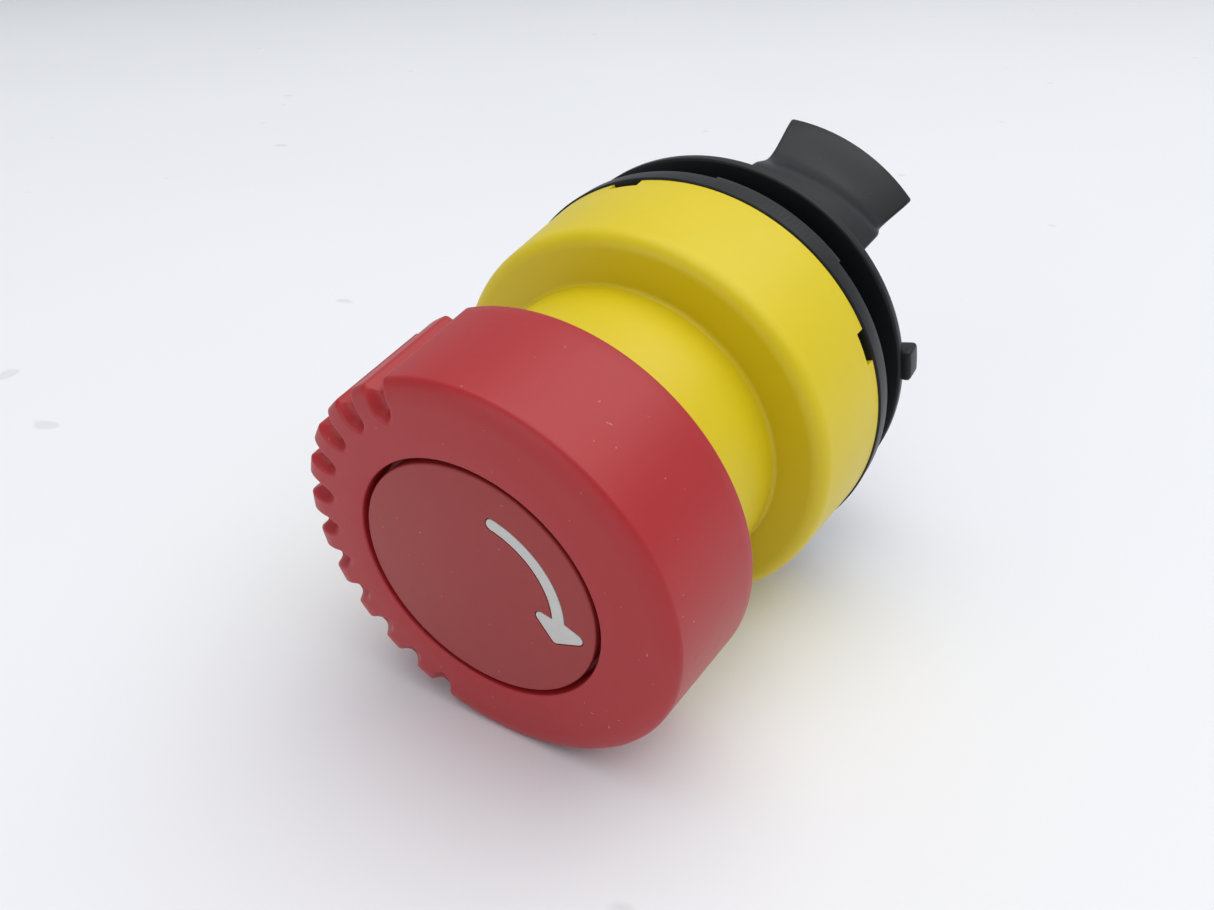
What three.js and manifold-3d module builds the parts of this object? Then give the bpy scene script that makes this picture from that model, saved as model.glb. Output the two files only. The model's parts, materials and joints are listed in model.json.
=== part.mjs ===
// Emergency stop operator head for a control panel: a red mushroom cap that is pushed in and
// turned clockwise to release, a yellow collar, and a black base with a clamping ring.
//
// Millimetres. The push axis is Y: the cap faces -Y and the barrel runs towards +Y through the
// panel. +Z is up. The origin is the centre of the panel's hole, on the panel's front surface.
// Angles are measured round the push axis from +Z towards +X, clockwise as the user sees them.

import * as THREE from 'three';
import { mergeVertices } from 'three/addons/utils/BufferGeometryUtils.js';
import Module from 'manifold-3d';

const wasm = await Module();
wasm.setup();

// ---------------------------------------------------------------- driving dimensions

const gap = 0.3;                    // between pieces that seat on each other or slide
const hair = 0.1;                   // a little more room where a piece only passes another
const pressTravel = 6;              // how far the head is pushed in
const latchSlope = 0.25;            // latch travel for each millimetre of head travel

const panelSpace = 4.22;            // between the gasket and the clamping ring
const gasketThickness = 0.8;
const flangeThickness = 2.4;        // black band seen behind the collar
const collarDepth = 11.95;          // collar face to collar rear edge
const capStandOff = 13.8;           // collar face to the cap's rear rim, released
const capDepth = 11.8;              // cap face to its rear rim
const barrelLength = 18;            // barrel behind the panel's front surface
const barrelRadius = 15;            // passes a 30.5 mm panel hole
const barrelWall = 2.2;

const capRadius = 20;               // at the rear rim
const capDraft = 0.9;               // how much narrower the cap's side is at its front
const capEdgeWidth = 2.3;           // width of the front edge's rounding on the face
const capEdgeDepth = 0.95;          // depth of the front edge's rounding
const capWall = 3.3;
const skirtDraft = 0.2;
const capFrontWall = 3.75;
const bossLength = 5.5;             // boss inside the cap that takes the spindle
const bossInset = 1.5;              // how much narrower the boss is than the carriage
const discRadius = 11.75;
const discGroove = 0.5;             // ring groove round the disc
const discThickness = 1.7;
const discSink = 0.1;               // how far the disc lies under the cap's face

const scoopCount = 11;
const scoopPitch = 13.35;           // degrees
const scoopMiddle = -90;            // degrees
const scoopDepth = 1.4;
const scoopRunOut = 1.2;            // how far a scoop reaches over the edge on to the face
const scoopSetBack = 0.55;          // the scooped side lies under the smooth one
const scoopHalfWidth = 0.4;         // of the pitch

const arrowTail = 21;               // degrees, where the shaft's round end is centred
const arrowNeck = 95;               // degrees, where the shaft meets the head
const arrowTailRadius = 7.82;       // the shaft's middle line widens from tail to neck
const arrowNeckRadius = 8.22;
const arrowWidth = 1.14;
const arrowHead = [                 // the head's corners as [radius, degrees, rounding]
  [11.5, 100, 0.6], [8.3, 114.5, 0.35], [5.4, 90.5, 0.5],
];
const arrowHeight = 0.35;
const arrowGap = 0.12;

const collarOverCap = 2.2;          // how far the collar reaches past the cap
const collarOverBarrel = 7.2;       // how far the collar reaches past the barrel, at the least
const collarDraft = 1.15;           // how much narrower the collar is at its front
const collarEdge = 2.3;             // rounding of the collar's front edge
const collarWall = 2;               // of the collar's face
const collarSkirtWall = 2.2;
const neckClearance = 0.7;          // between the neck and the cap's skirt
const neckDraft = 0.25;
const neckWall = 2.6;
const neckBlend = 1.4;
const notchAngles = [66.35, 165.15, 246.35, 345.15];
const notchWidth = 3.4;
const notchDepth = 1.25;
const tongueSink = 0.9;             // how far a latch tongue lies inside the collar's surface

const flangeProud = 0.2;            // how far the flange stands out past the collar
const flangeStep = 0.35;            // raised sectors on the flange's rear face
const flangeStepSectors = [[7.5, 45.7], [187.5, 225.7]];
const spigotWall = 2.3;
const spigotDrop = 1.55;            // from the collar's ceiling to the spigot
const chamberDepth = 3.8;           // from the flange's rear face to the chamber's floor
const gasketInset = 1.8;            // how far the gasket lies inside the flange's edge
const gasketClear = 0.02;           // between the gasket and the flange that it is bonded to
const keyWidth = 3.2;
const keyHeight = 0.9;
const bayonetAngles = [90, 210, 330];
const bayonetArc = 30;
const bayonetHeight = 1.5;
const bayonetLength = 2;
const bayonetPlay = 2;              // degrees of room beside a lug that passes the ring
const ringTurn = 50;                // degrees from clamped to free

const ringInset = 0.25;             // how far the ring lies inside the flange's edge
const ringRimThickness = 1.3;
const ringHubWall = 2.9;
const ringHubLength = 8;
const ringHubFillet = 0.3;
const gripAngles = [[9.5, 48], [189.5, 228]];
const gripEndSpread = 3.1;          // the grip's end reaches further round on one side
const gripLength = 17.1;            // behind the ring's front face
const gripInset = 0.55;             // how far the grip's end lies inside the ring's edge
const gripRise = 1.1;               // how much lower the grip's root lies than its end
const gripWaist = 1.5;              // hollow of the saddle between root and end
const gripThickness = 2.2;
const gripStart = 0.5;              // from the ring's front face to the grip's root
const gripWebInset = 8;             // degrees from a grip's edge to its web
const gripWebLength = 5.5;
const gripSlit = [22.4, 35.1];      // degrees from the grip's edge
const gripSlitWidth = 0.4;
const gripSlitDepth = 2;
const lugAngles = [83, 263];
const lugArc = 8;
const lugHeight = 0.95;             // how far a lug stands out past the ring
const lugLength = 1.8;
const lugRoot = 4;                  // how deep a lug is rooted in the rim

const spindleRadius = 3;
const spindleFlat = 0.4;            // how much the square's half side is less than the radius
const spindleCollar = 0.6;          // from the carriage's front to where the round shank starts
const screwRadius = 1.5;
const screwLength = 6;
const screwHeadRadius = 2.9;
const screwHeadHeight = 1.7;
const screwHeadDome = 0.6;
const screwSlotReach = 1.6;
const screwSeatDrop = 0.8;          // from the head's place to its seat, with the washer between
const capWebThickness = 1.5;        // between the screw's seat and the spindle's socket
const washerThickness = 0.4;
const clipReach = 1.6;              // how far the clip stands out from the spindle
const clipThickness = 0.7;
const clipGroove = 0.7;
const clipPlace = 3.5;              // from the plunger's front to the clip
const spindleTail = 2.2;            // from the clip to the spindle's end

const springRoom = 1.25;            // between the twist spring and what is inside and outside it
const twistSpringWire = 0.9;
const twistSpringTurns = 4;
const twistSpringPlace = 2.2;       // from the carriage's front to the spring
const springChamber = 9.2;          // length of the twist spring's chamber
const carriageWall = 1.6;
const coneHeight = 1.6;
const coneLead = 0.4;               // length of the step up to the cone
const coneStart = 1.25;             // from the collar's ceiling forward to the cone
const coneOverrun = 0.5;            // how far the cone reaches past the latch cage
const carriageTail = 1.5;           // from the flange's rear face forward to the carriage's end
const carriageKeyWidth = 1.6;
const carriageKeyHeight = 1;
const carriageKeyPlace = 4;         // from the carriage's front to its keys
const clipRoom = 0.6;
const padLedge = 1.1;
const padThickness = 2.5;
const padChamfer = 1.3;
const padCrown = 0.6;
const plungerWall = 2.2;
const plungerLength = 11;
const plungerPlay = 0.5;            // between the plunger's flange and the barrel
const plungerFlangeThickness = 1.6;

const latchWidth = 4.6;
const latchThickness = 3.6;
const latchSet = 0.2;               // how far the latches lie behind the cage's middle
const latchSpringLength = 3.4;
const latchSpringRadius = 1.3;
const latchSpringWire = 0.4;
const latchSpringTurns = 4;
const cageScrewRadius = 0.9;
const cageScrewHead = 1.9;
const cageScrewDome = 0.3;
const cageScrewSlotReach = 1.1;
const cageHeadDepth = 1.5;
const cageFloorWall = 0.8;          // left between a cage screw's hole and the flange's rear face

const returnSpringInset = 2.2;      // from the barrel's bore to the spring's middle line
const returnSpringWire = 1.1;
const returnSpringTurns = 5;
const retainerThickness = 2;
const retainerSink = 1.8;           // from the barrel's end to the retainer
const retainerPlay = 0.2;
const retainerLead = 0.8;
const bushLength = 7.6;             // how far the guide bush reaches into the neck
const bushFlangePlay = 0.5;
const sealLength = 1.8;
const sealPlay = 0.4;
const sealLip = 0.6;
const sealKeyRoom = 0.5;            // round the carriage's keys
const sealWire = 1;
const sealInset = 1.1;              // from the spigot's edge to the seal's middle line

const coarse = 28;                  // segments round an inner piece
const fine = 48;                    // segments round an outer piece
const screwSides = 24;              // segments round the cap's screw
const slim = 16;                    // segments round a small screw
const stepsPerScoop = 4;            // columns of the cap's surface
const smoothSteps = 28;
const bite = 1;                     // how far a cutter reaches past what it cuts

// ---------------------------------------------------------------- stations along the push axis

const flangeRear = -gasketThickness;
const collarRear = flangeRear - flangeThickness;
const flangeFront = collarRear + gap;
const collarFace = collarRear - collarDepth;
const collarCeiling = collarFace + collarWall;
const capRear = collarFace - capStandOff;
const capFace = capRear - capDepth;
const capCeiling = capFace + capFrontWall;
const discFloor = capFace + discSink + discThickness + gap;
const neckFront = capCeiling + pressTravel + gap + hair;
const spigotFront = collarCeiling + spigotDrop;
const chamberFloor = flangeRear - chamberDepth;
const ringFront = panelSpace;
const ringHubRear = ringFront + ringHubLength;
const bayonetFront = ringHubRear + gap;
const cageFront = spigotFront - hair;
const cageRear = chamberFloor - gap;
const bossEnd = capCeiling + bossLength;
const screwSeat = discFloor + screwHeadHeight + screwSeatDrop;
const socketFloor = screwSeat + capWebThickness;
const screwHoleFloor = flangeRear - cageFloorWall;
const carriageFront = bossEnd + gap;
const chamberRear = carriageFront + springChamber;
const shoulder = collarCeiling - coneStart;
const coneFront = shoulder + coneLead;
const coneRear = cageRear + coneOverrun;
const carriageRear = flangeRear - carriageTail;
const plungerFront = carriageRear + gap;
const plungerFlangeRear = plungerFront + plungerFlangeThickness;
const plungerRear = plungerFront + plungerLength;
const clipFront = plungerFront + clipPlace;
const spindleEnd = clipFront + spindleTail;
const padFront = plungerRear - padThickness;
const bushFront = collarFace - bushLength;
const retainerRear = barrelLength - retainerSink;
const retainerFront = retainerRear - retainerThickness;
const latchMiddle = (cageFront + cageRear) / 2 + latchSet;

// ---------------------------------------------------------------- radii that follow

const capFrontRadius = capRadius - capDraft;
const capFaceRadius = capFrontRadius - capEdgeWidth;
const recessRadius = discRadius + discGroove;
const scoopEnd = capFaceRadius - scoopRunOut;
const skirtRadius = capRadius - capWall;
const neckRadius = skirtRadius - neckClearance;
const neckFrontRadius = neckRadius - neckDraft;
const neckInner = neckRadius - neckWall;
const collarRearRadius = Math.max(capRadius + collarOverCap, barrelRadius + collarOverBarrel);
const collarFrontRadius = collarRearRadius - collarDraft;
const collarInner = collarRearRadius - collarSkirtWall;
const spigotRadius = collarInner - gap;
const spigotInner = spigotRadius - spigotWall;
const barrelInner = barrelRadius - barrelWall;
const flangeRadius = collarRearRadius + flangeProud;
const gasketRadius = flangeRadius - gasketInset;
const ringRadius = flangeRadius - ringInset;
const gripEndRadius = ringRadius - gripInset;
const gripRootRadius = gripEndRadius - gripRise;
const lugRadius = ringRadius + lugHeight;
const cageScrewPlace = (barrelInner + spigotInner) / 2;
const squareHalf = spindleRadius - spindleFlat;
const boreRadius = spindleRadius + gap;
const twistSpringRadius = spindleRadius + twistSpringWire / 2 + springRoom;
const chamberRadius = twistSpringRadius + twistSpringWire / 2 + springRoom;
const carriageRadius = chamberRadius + carriageWall;
const coneRadius = carriageRadius + coneHeight;
const bossRadius = carriageRadius - bossInset;
const bushBore = carriageRadius + gap;
const coneBore = coneRadius + gap;
const coneEnd = coneRadius - latchSlope * (coneRear - coneFront);
const keyReach = carriageRadius + carriageKeyHeight;
const clipRadius = spindleRadius + clipReach;
const clipRecess = clipRadius + clipRoom;
const pushPadRadius = clipRecess + padLedge;
const padSeat = pushPadRadius + gap;
const plungerRadius = padSeat + plungerWall;
const plungerFlange = barrelInner - plungerPlay;
const returnSpringRadius = barrelInner - returnSpringInset;

// ---------------------------------------------------------------- helpers

const radians = (degrees) => THREE.MathUtils.degToRad(degrees);

// A geometry with its shared corners merged and its collapsed triangles dropped.
function welded(geometry) {
  const plain = geometry.index ? geometry.toNonIndexed() : geometry.clone();
  plain.deleteAttribute('normal');
  plain.deleteAttribute('uv');
  const merged = mergeVertices(plain, 1e-4);
  const corners = merged.index.array;
  const kept = [];
  for (let i = 0; i < corners.length; i += 3) {
    const [a, b, c] = [corners[i], corners[i + 1], corners[i + 2]];
    if (a !== b && b !== c && c !== a) kept.push(a, b, c);
  }
  merged.setIndex(kept);
  return merged;
}

function solid(geometry) {
  const merged = welded(geometry);
  return new wasm.Manifold(new wasm.Mesh({
    numProp: 3,
    vertProperties: new Float32Array(merged.attributes.position.array),
    triVerts: new Uint32Array(merged.index.array),
  }));
}

function geometryOf(manifold) {
  const mesh = manifold.getMesh();
  const geometry = new THREE.BufferGeometry();
  geometry.setAttribute('position', new THREE.BufferAttribute(mesh.vertProperties, mesh.numProp));
  geometry.setIndex(new THREE.BufferAttribute(mesh.triVerts, 1));
  return geometry;
}

// A profile of [radius, y] points, walked with the material on its left, spun round the Y axis.
function spun(profile, segments = fine) {
  const points = profile.map(([radius, y]) => new THREE.Vector2(radius, y));
  const onAxis = profile[0][0] === 0;
  if (!onAxis) points.push(points[0].clone());
  return new THREE.LatheGeometry(points, segments);
}

// A square-cornered ring between two radii and two stations.
function ring(inner, outer, front, rear, segments = coarse) {
  return spun([[inner, front], [outer, front], [outer, rear], [inner, rear]], segments);
}

function rod(radius, front, rear, segments = coarse) {
  return spun([[0, front], [radius, front], [radius, rear], [0, rear]], segments);
}

// Points of an ellipse's quarter, from one tangent to the next.
function quarter(centre, across, along, from, to, steps) {
  const points = [];
  for (let i = 0; i <= steps; i++) {
    const angle = radians(from + (to - from) * i / steps);
    points.push([centre[0] + across * Math.cos(angle), centre[1] + along * Math.sin(angle)]);
  }
  return points;
}

// A block of a ring between two radii, two stations and two angles.
function sector(inner, outer, front, rear, from, to) {
  const steps = Math.max(2, Math.ceil((to - from) / 8));
  return swept(steps, 1, (turn, side, face) => {
    const angle = radians(from + (to - from) * turn);
    const radius = face ? outer : inner;
    return [radius * Math.sin(angle), front + (rear - front) * side, radius * Math.cos(angle)];
  });
}

// A closed slab: two grids of the same layout, joined round their edges. place(u, v, face) gives
// a corner, with face true on the outer grid.
function swept(across, along, place) {
  const corners = [];
  const triangles = [];
  const index = (i, j, face) => (face ? 1 : 0) * (across + 1) * (along + 1) + j * (across + 1) + i;
  for (const face of [false, true]) {
    for (let j = 0; j <= along; j++) {
      for (let i = 0; i <= across; i++) corners.push(...place(i / across, j / along, face));
    }
  }
  const quad = (a, b, c, d) => triangles.push(a, b, c, a, c, d);
  for (let j = 0; j < along; j++) {
    for (let i = 0; i < across; i++) {
      quad(index(i, j, true), index(i + 1, j, true), index(i + 1, j + 1, true), index(i, j + 1, true));
      quad(index(i, j, false), index(i, j + 1, false), index(i + 1, j + 1, false), index(i + 1, j, false));
    }
  }
  for (let i = 0; i < across; i++) {
    quad(index(i, 0, false), index(i + 1, 0, false), index(i + 1, 0, true), index(i, 0, true));
    const next = i + 1;
    quad(index(i, along, true), index(next, along, true), index(next, along, false), index(i, along, false));
  }
  for (let j = 0; j < along; j++) {
    quad(index(0, j, true), index(0, j + 1, true), index(0, j + 1, false), index(0, j, false));
    const next = j + 1;
    const inner = [index(across, next, true), index(across, j, true)];
    quad(index(across, j, false), index(across, next, false), ...inner);
  }
  const geometry = new THREE.BufferGeometry();
  geometry.setAttribute('position', new THREE.Float32BufferAttribute(corners, 3));
  geometry.setIndex(triangles);
  return geometry;
}

// A block between two opposite corners.
function block(low, high) {
  const size = high.map((value, axis) => value - low[axis]);
  const geometry = new THREE.BoxGeometry(...size);
  return geometry.translate(...low.map((value, axis) => value + size[axis] / 2));
}

// A coil of round wire about the Y axis.
function coil(radius, wire, front, rear, turns, stepsPerTurn = 12, sides = 6) {
  const rise = rear - front - wire;
  class Helix extends THREE.Curve {
    getPoint(t, target = new THREE.Vector3()) {
      const angle = 2 * Math.PI * turns * t;
      return target.set(radius * Math.sin(angle), front + wire / 2 + rise * t, radius * Math.cos(angle));
    }
  }
  const section = new THREE.Shape();
  for (let i = 0; i < sides; i++) {
    const angle = 2 * Math.PI * i / sides;
    const point = [wire / 2 * Math.cos(angle), wire / 2 * Math.sin(angle)];
    if (i === 0) section.moveTo(...point);
    else section.lineTo(...point);
  }
  section.closePath();
  return new THREE.ExtrudeGeometry(section, {
    steps: Math.round(turns * stepsPerTurn),
    bevelEnabled: false,
    extrudePath: new Helix(),
  });
}

function material(color, roughness, metalness = 0) {
  return new THREE.MeshStandardMaterial({ color, roughness, metalness });
}

// ---------------------------------------------------------------- materials

const capRed = material(0xb23c40, 0.5);
const discRed = material(0x8c4040, 0.55);
const arrowGrey = material(0xcdcbc6, 0.5);
const collarYellow = material(0xdecd46, 0.45);
const blackPlastic = material(0x26272a, 0.5);
const rubber = material(0x18181a, 0.85);
const innerPlastic = material(0x4a4c50, 0.5);
const naturalPlastic = material(0xd8d5c8, 0.45);
const springSteel = material(0xa9acb0, 0.3, 1);
const zincSteel = material(0xb9bcc0, 0.35, 1);

const head = new THREE.Group();

function add(name, geometry, finish) {
  const mesh = new THREE.Mesh(geometry, finish);
  mesh.name = name;
  head.add(mesh);
  return mesh;
}

// ---------------------------------------------------------------- cap, disc and arrow

// How deep the scoops are cut at an angle: 0 on a land, 1 in the middle of a scoop.
function scoopAt(angle) {
  const first = scoopMiddle - scoopPitch * (scoopCount - 1) / 2;
  const place = (angle - first) / scoopPitch;
  const nearest = Math.round(place);
  if (nearest < 0 || nearest >= scoopCount) return 0;
  const across = Math.abs(place - nearest) / scoopHalfWidth;
  return across < 1 ? Math.cos(across * Math.PI / 2) ** 2 : 0;
}

function inScoopedSector(angle) {
  return Math.abs(angle - scoopMiddle) < scoopPitch * (scoopCount - 1 + 2 * scoopHalfWidth) / 2;
}

// The angles round the cap: close together where the scoops are.
function capAngles() {
  const scoopedArc = scoopPitch * (scoopCount + 1);
  const from = scoopMiddle - scoopedArc / 2;
  const scoopedSteps = (scoopCount + 1) * stepsPerScoop;
  const angles = [];
  for (let i = 0; i < scoopedSteps; i++) angles.push(from + scoopPitch * i / stepsPerScoop);
  for (let i = 0; i < smoothSteps; i++) angles.push(from + scoopedArc + (360 - scoopedArc) * i / smoothSteps);
  return angles;
}

// The cap's outer surface from the disc's recess to the rear rim. Each point has its radius and
// station, how deep a scoop reaches there as a share, and the lean of the surface's normal, which
// is -90 where it faces forward and 0 where it faces out.
function capOutside() {
  const flat = (radius, share) => ({ radius, y: capFace, share, lean: -90 });
  const points = [
    flat(recessRadius, 0), flat(scoopEnd, 0),
    flat((scoopEnd + capFaceRadius) / 2, 0.35), flat(capFaceRadius, 0.6),
  ];
  for (const lean of [-60, -30, 0]) {
    points.push({
      radius: capFaceRadius + (capFrontRadius - capFaceRadius) * Math.cos(radians(lean)),
      y: capFace + capEdgeDepth * (1 + Math.sin(radians(lean))),
      share: 1 + 0.3 * lean / 90,
      lean,
    });
  }
  points.push({ radius: capRadius, y: capRear, share: 1, lean: 0 });
  return points;
}

function capInside() {
  const seatRadius = screwHeadRadius + gap + hair;
  const holeRadius = screwRadius + gap;
  return [
    [skirtRadius, capRear], [skirtRadius - skirtDraft, capCeiling], [bossRadius, capCeiling],
    [bossRadius, bossEnd], [holeRadius, bossEnd], [holeRadius, screwSeat],
    [seatRadius, screwSeat], [seatRadius, discFloor], [recessRadius, discFloor],
  ].map(([radius, y]) => ({ radius, y, share: 0, lean: 0 }));
}

function mushroomCap() {
  const loop = [...capOutside(), ...capInside()];
  const angles = capAngles();
  const corners = [];
  const triangles = [];
  for (const angle of angles) {
    const cut = scoopAt(angle) * scoopDepth;
    const setBack = inScoopedSector(angle) ? scoopSetBack : 0;
    for (const { radius, y, share, lean } of loop) {
      const cutRadius = radius - (cut * share + setBack * Math.min(1, share)) * Math.cos(radians(lean));
      const cutY = y - cut * share * Math.sin(radians(lean));
      corners.push(cutRadius * Math.sin(radians(angle)), cutY, cutRadius * Math.cos(radians(angle)));
    }
  }
  const at = (i, j) => (i % angles.length) * loop.length + j % loop.length;
  for (let i = 0; i < angles.length; i++) {
    for (let j = 0; j < loop.length; j++) {
      triangles.push(at(i, j), at(i + 1, j), at(i, j + 1));
      triangles.push(at(i + 1, j + 1), at(i, j + 1), at(i + 1, j));
    }
  }
  const shell = new THREE.BufferGeometry();
  shell.setAttribute('position', new THREE.Float32BufferAttribute(corners, 3));
  shell.setIndex(triangles);
  const half = squareHalf + gap;
  const socket = block([-half, socketFloor, -half], [half, bossEnd + bite, half]);
  return geometryOf(solid(shell).subtract(solid(socket)));
}

// Points of a round that takes a corner off between two straight sides.
function roundedCorner(before, corner, after, radius, steps = 3) {
  const back = before.clone().sub(corner).normalize();
  const forth = after.clone().sub(corner).normalize();
  const half = back.angleTo(forth) / 2;
  const centre = back.clone().add(forth).normalize().multiplyScalar(radius / Math.sin(half)).add(corner);
  const start = back.multiplyScalar(radius / Math.tan(half)).add(corner).sub(centre);
  const turn = Math.sign(start.cross(corner.clone().sub(centre))) * (Math.PI - 2 * half);
  const points = [];
  for (let i = 0; i <= steps; i++) {
    points.push(start.clone().rotateAround(new THREE.Vector2(), turn * i / steps).add(centre));
  }
  return points;
}

// The arrow's outline, on a plane with x to the right and y up as the user sees it.
function arrowOutline() {
  const at = (radius, degrees) => new THREE.Vector2(
    radius * Math.sin(radians(degrees)), radius * Math.cos(radians(degrees)));
  const half = arrowWidth / 2;
  const steps = 8;
  const outer = [];
  const inner = [];
  for (let i = 0; i <= steps; i++) {
    const angle = arrowTail + (arrowNeck - arrowTail) * i / steps;
    const middle = arrowTailRadius + (arrowNeckRadius - arrowTailRadius) * i / steps;
    outer.push(at(middle + half, angle));
    inner.unshift(at(middle - half, angle));
  }
  const tail = at(arrowTailRadius, arrowTail - THREE.MathUtils.radToDeg(half / arrowTailRadius));
  const corners = arrowHead.map(([radius, degrees]) => at(radius, degrees));
  const sides = [outer[steps], ...corners, inner[0]];
  const rounds = arrowHead.flatMap(([, , rounding], i) => (
    roundedCorner(sides[i], sides[i + 1], sides[i + 2], rounding)));
  return [tail, ...outer, ...rounds, ...inner];
}

// An outline that lies a distance outside a clockwise one.
function grown(outline, distance) {
  const count = outline.length;
  return outline.map((point, i) => {
    const along = (from, to) => to.clone().sub(from).normalize();
    const arriving = along(outline[(i + count - 1) % count], point);
    const leaving = along(point, outline[(i + 1) % count]);
    const outward = new THREE.Vector2(-arriving.y - leaving.y, arriving.x + leaving.x).normalize();
    return outward.multiplyScalar(distance).add(point);
  });
}

function arrowPrism(outline, front, rear) {
  const settings = { depth: rear - front, bevelEnabled: false };
  const prism = new THREE.ExtrudeGeometry(new THREE.Shape(outline), settings);
  return prism.rotateX(Math.PI / 2).translate(0, rear, 0);
}

function faceDisc() {
  const front = capFace + discSink;
  const disc = rod(discRadius, front, front + discThickness, fine);
  const pocket = arrowPrism(grown(arrowOutline(), arrowGap), front - bite, front + arrowHeight + arrowGap);
  return geometryOf(solid(disc).subtract(solid(pocket)));
}

function capPieces() {
  const front = capFace + discSink;
  add('mushroom_cap', mushroomCap(), capRed);
  add('face_disc', faceDisc(), discRed);
  add('arrow_inlay', arrowPrism(arrowOutline(), front, front + arrowHeight), arrowGrey);
}

// ---------------------------------------------------------------- spindle and what holds the cap

function spindle() {
  const seat = socketFloor + gap;
  const grooveFront = clipFront - hair;
  const grooveRear = clipFront + clipThickness + hair;
  const shank = rod(spindleRadius, carriageFront + spindleCollar, spindleEnd);
  const square = block([-squareHalf, seat, -squareHalf], [squareHalf, carriageFront + bite, squareHalf]);
  const thread = rod(screwRadius + gap, seat - bite, seat + screwLength);
  const groove = ring(spindleRadius - clipGroove, spindleRadius + bite, grooveFront, grooveRear);
  return geometryOf(solid(shank).add(solid(square)).subtract(solid(thread)).subtract(solid(groove)));
}

function capScrew(headRear) {
  const headFront = headRear - screwHeadHeight + screwHeadDome;
  const edge = screwHeadRadius - 2 * hair;
  const end = socketFloor + screwLength - gap - hair;
  const shape = spun([
    [0, headFront], [edge - screwHeadDome, headFront], [edge, headRear - screwHeadDome], [edge, headRear],
    [screwRadius, headRear], [screwRadius, end], [0, end],
  ], screwSides);
  return geometryOf(crossSlot(solid(shape), headFront, screwSlotReach));
}

function spindleClip() {
  const rear = clipFront + clipThickness;
  const mouthHalf = spindleRadius - clipGroove - 2 * hair;
  const clip = ring(spindleRadius - clipGroove + gap, clipRadius, clipFront, rear);
  const mouth = block([-mouthHalf, clipFront - bite, -clipRadius - bite], [mouthHalf, rear + bite, 0]);
  return geometryOf(solid(clip).subtract(solid(mouth)));
}

function spindlePieces() {
  const washerRear = screwSeat - gap;
  const washerFront = washerRear - washerThickness;
  add('spindle', spindle(), zincSteel);
  add('cap_washer', ring(screwRadius + gap, screwHeadRadius, washerFront, washerRear), zincSteel);
  add('cap_screw', capScrew(washerFront - gap), zincSteel);
  add('spindle_clip', spindleClip(), springSteel);
  const springFront = carriageFront + twistSpringPlace;
  const twist = coil(twistSpringRadius, twistSpringWire, springFront, chamberRear - gap, twistSpringTurns);
  add('twist_spring', twist, springSteel);
}

// Cuts a cross for a screwdriver into the front of a head. The slot keeps one shape at any reach.
function crossSlot(body, front, reach) {
  const width = reach * 0.28;
  const depth = reach * 0.4;
  return body
    .subtract(solid(block([-reach, front - bite, -width], [reach, front + depth, width])))
    .subtract(solid(block([-width, front - bite, -reach], [width, front + depth, reach])));
}

// ---------------------------------------------------------------- what travels with the cap

function carriage() {
  const body = solid(spun([
    [boreRadius, chamberRear], [chamberRadius, chamberRear], [chamberRadius, carriageFront],
    [carriageRadius, carriageFront], [carriageRadius, shoulder], [coneRadius, coneFront],
    [coneEnd, coneRear], [coneEnd, carriageRear], [boreRadius, carriageRear],
  ]));
  const half = carriageKeyWidth / 2;
  const keyFront = carriageFront + carriageKeyPlace;
  const key = block([-keyReach, keyFront, -half], [keyReach, shoulder, half]);
  const core = rod(carriageRadius - carriageWall / 2, keyFront - bite, shoulder + bite);
  return geometryOf(body.add(solid(key).subtract(solid(core))));
}

function plunger() {
  return spun([
    [boreRadius, plungerFront], [plungerFlange, plungerFront], [plungerFlange, plungerFlangeRear],
    [plungerRadius, plungerFlangeRear], [plungerRadius, plungerRear], [padSeat, plungerRear],
    [padSeat, padFront - gap], [clipRecess, padFront - gap], [clipRecess, clipFront - gap],
    [boreRadius, clipFront - gap],
  ], coarse);
}

function travelPieces() {
  add('carriage', carriage(), naturalPlastic);
  add('plunger', plunger(), innerPlastic);
  const pad = spun([
    [0, padFront], [pushPadRadius, padFront], [pushPadRadius, plungerRear],
    [pushPadRadius - padChamfer, plungerRear + padCrown], [0, plungerRear + padCrown],
  ], coarse);
  add('push_pad', pad, naturalPlastic);
}

// ---------------------------------------------------------------- collar

function collar() {
  const edge = quarter([collarFrontRadius - collarEdge, collarFace + collarEdge],
    collarEdge, collarEdge, -90, 0, 4);
  const blend = quarter([neckRadius + neckBlend, collarFace - neckBlend], -neckBlend, neckBlend, 0, 90, 3);
  const shell = spun([
    [neckInner, neckFront], [neckFrontRadius, neckFront], ...blend, ...edge,
    [collarRearRadius, collarRear], [collarInner, collarRear], [collarInner, collarCeiling],
    [neckInner, collarCeiling],
  ]);
  let body = solid(shell);
  for (const angle of notchAngles) {
    const half = THREE.MathUtils.radToDeg(notchWidth / 2 / collarRearRadius);
    const inner = collarInner - bite;
    const outer = collarRearRadius + bite;
    const front = collarRear - notchDepth;
    const notch = sector(inner, outer, front, collarRear + bite, angle - half, angle + half);
    body = body.subtract(solid(notch));
  }
  return geometryOf(body);
}

// ---------------------------------------------------------------- base body

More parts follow.
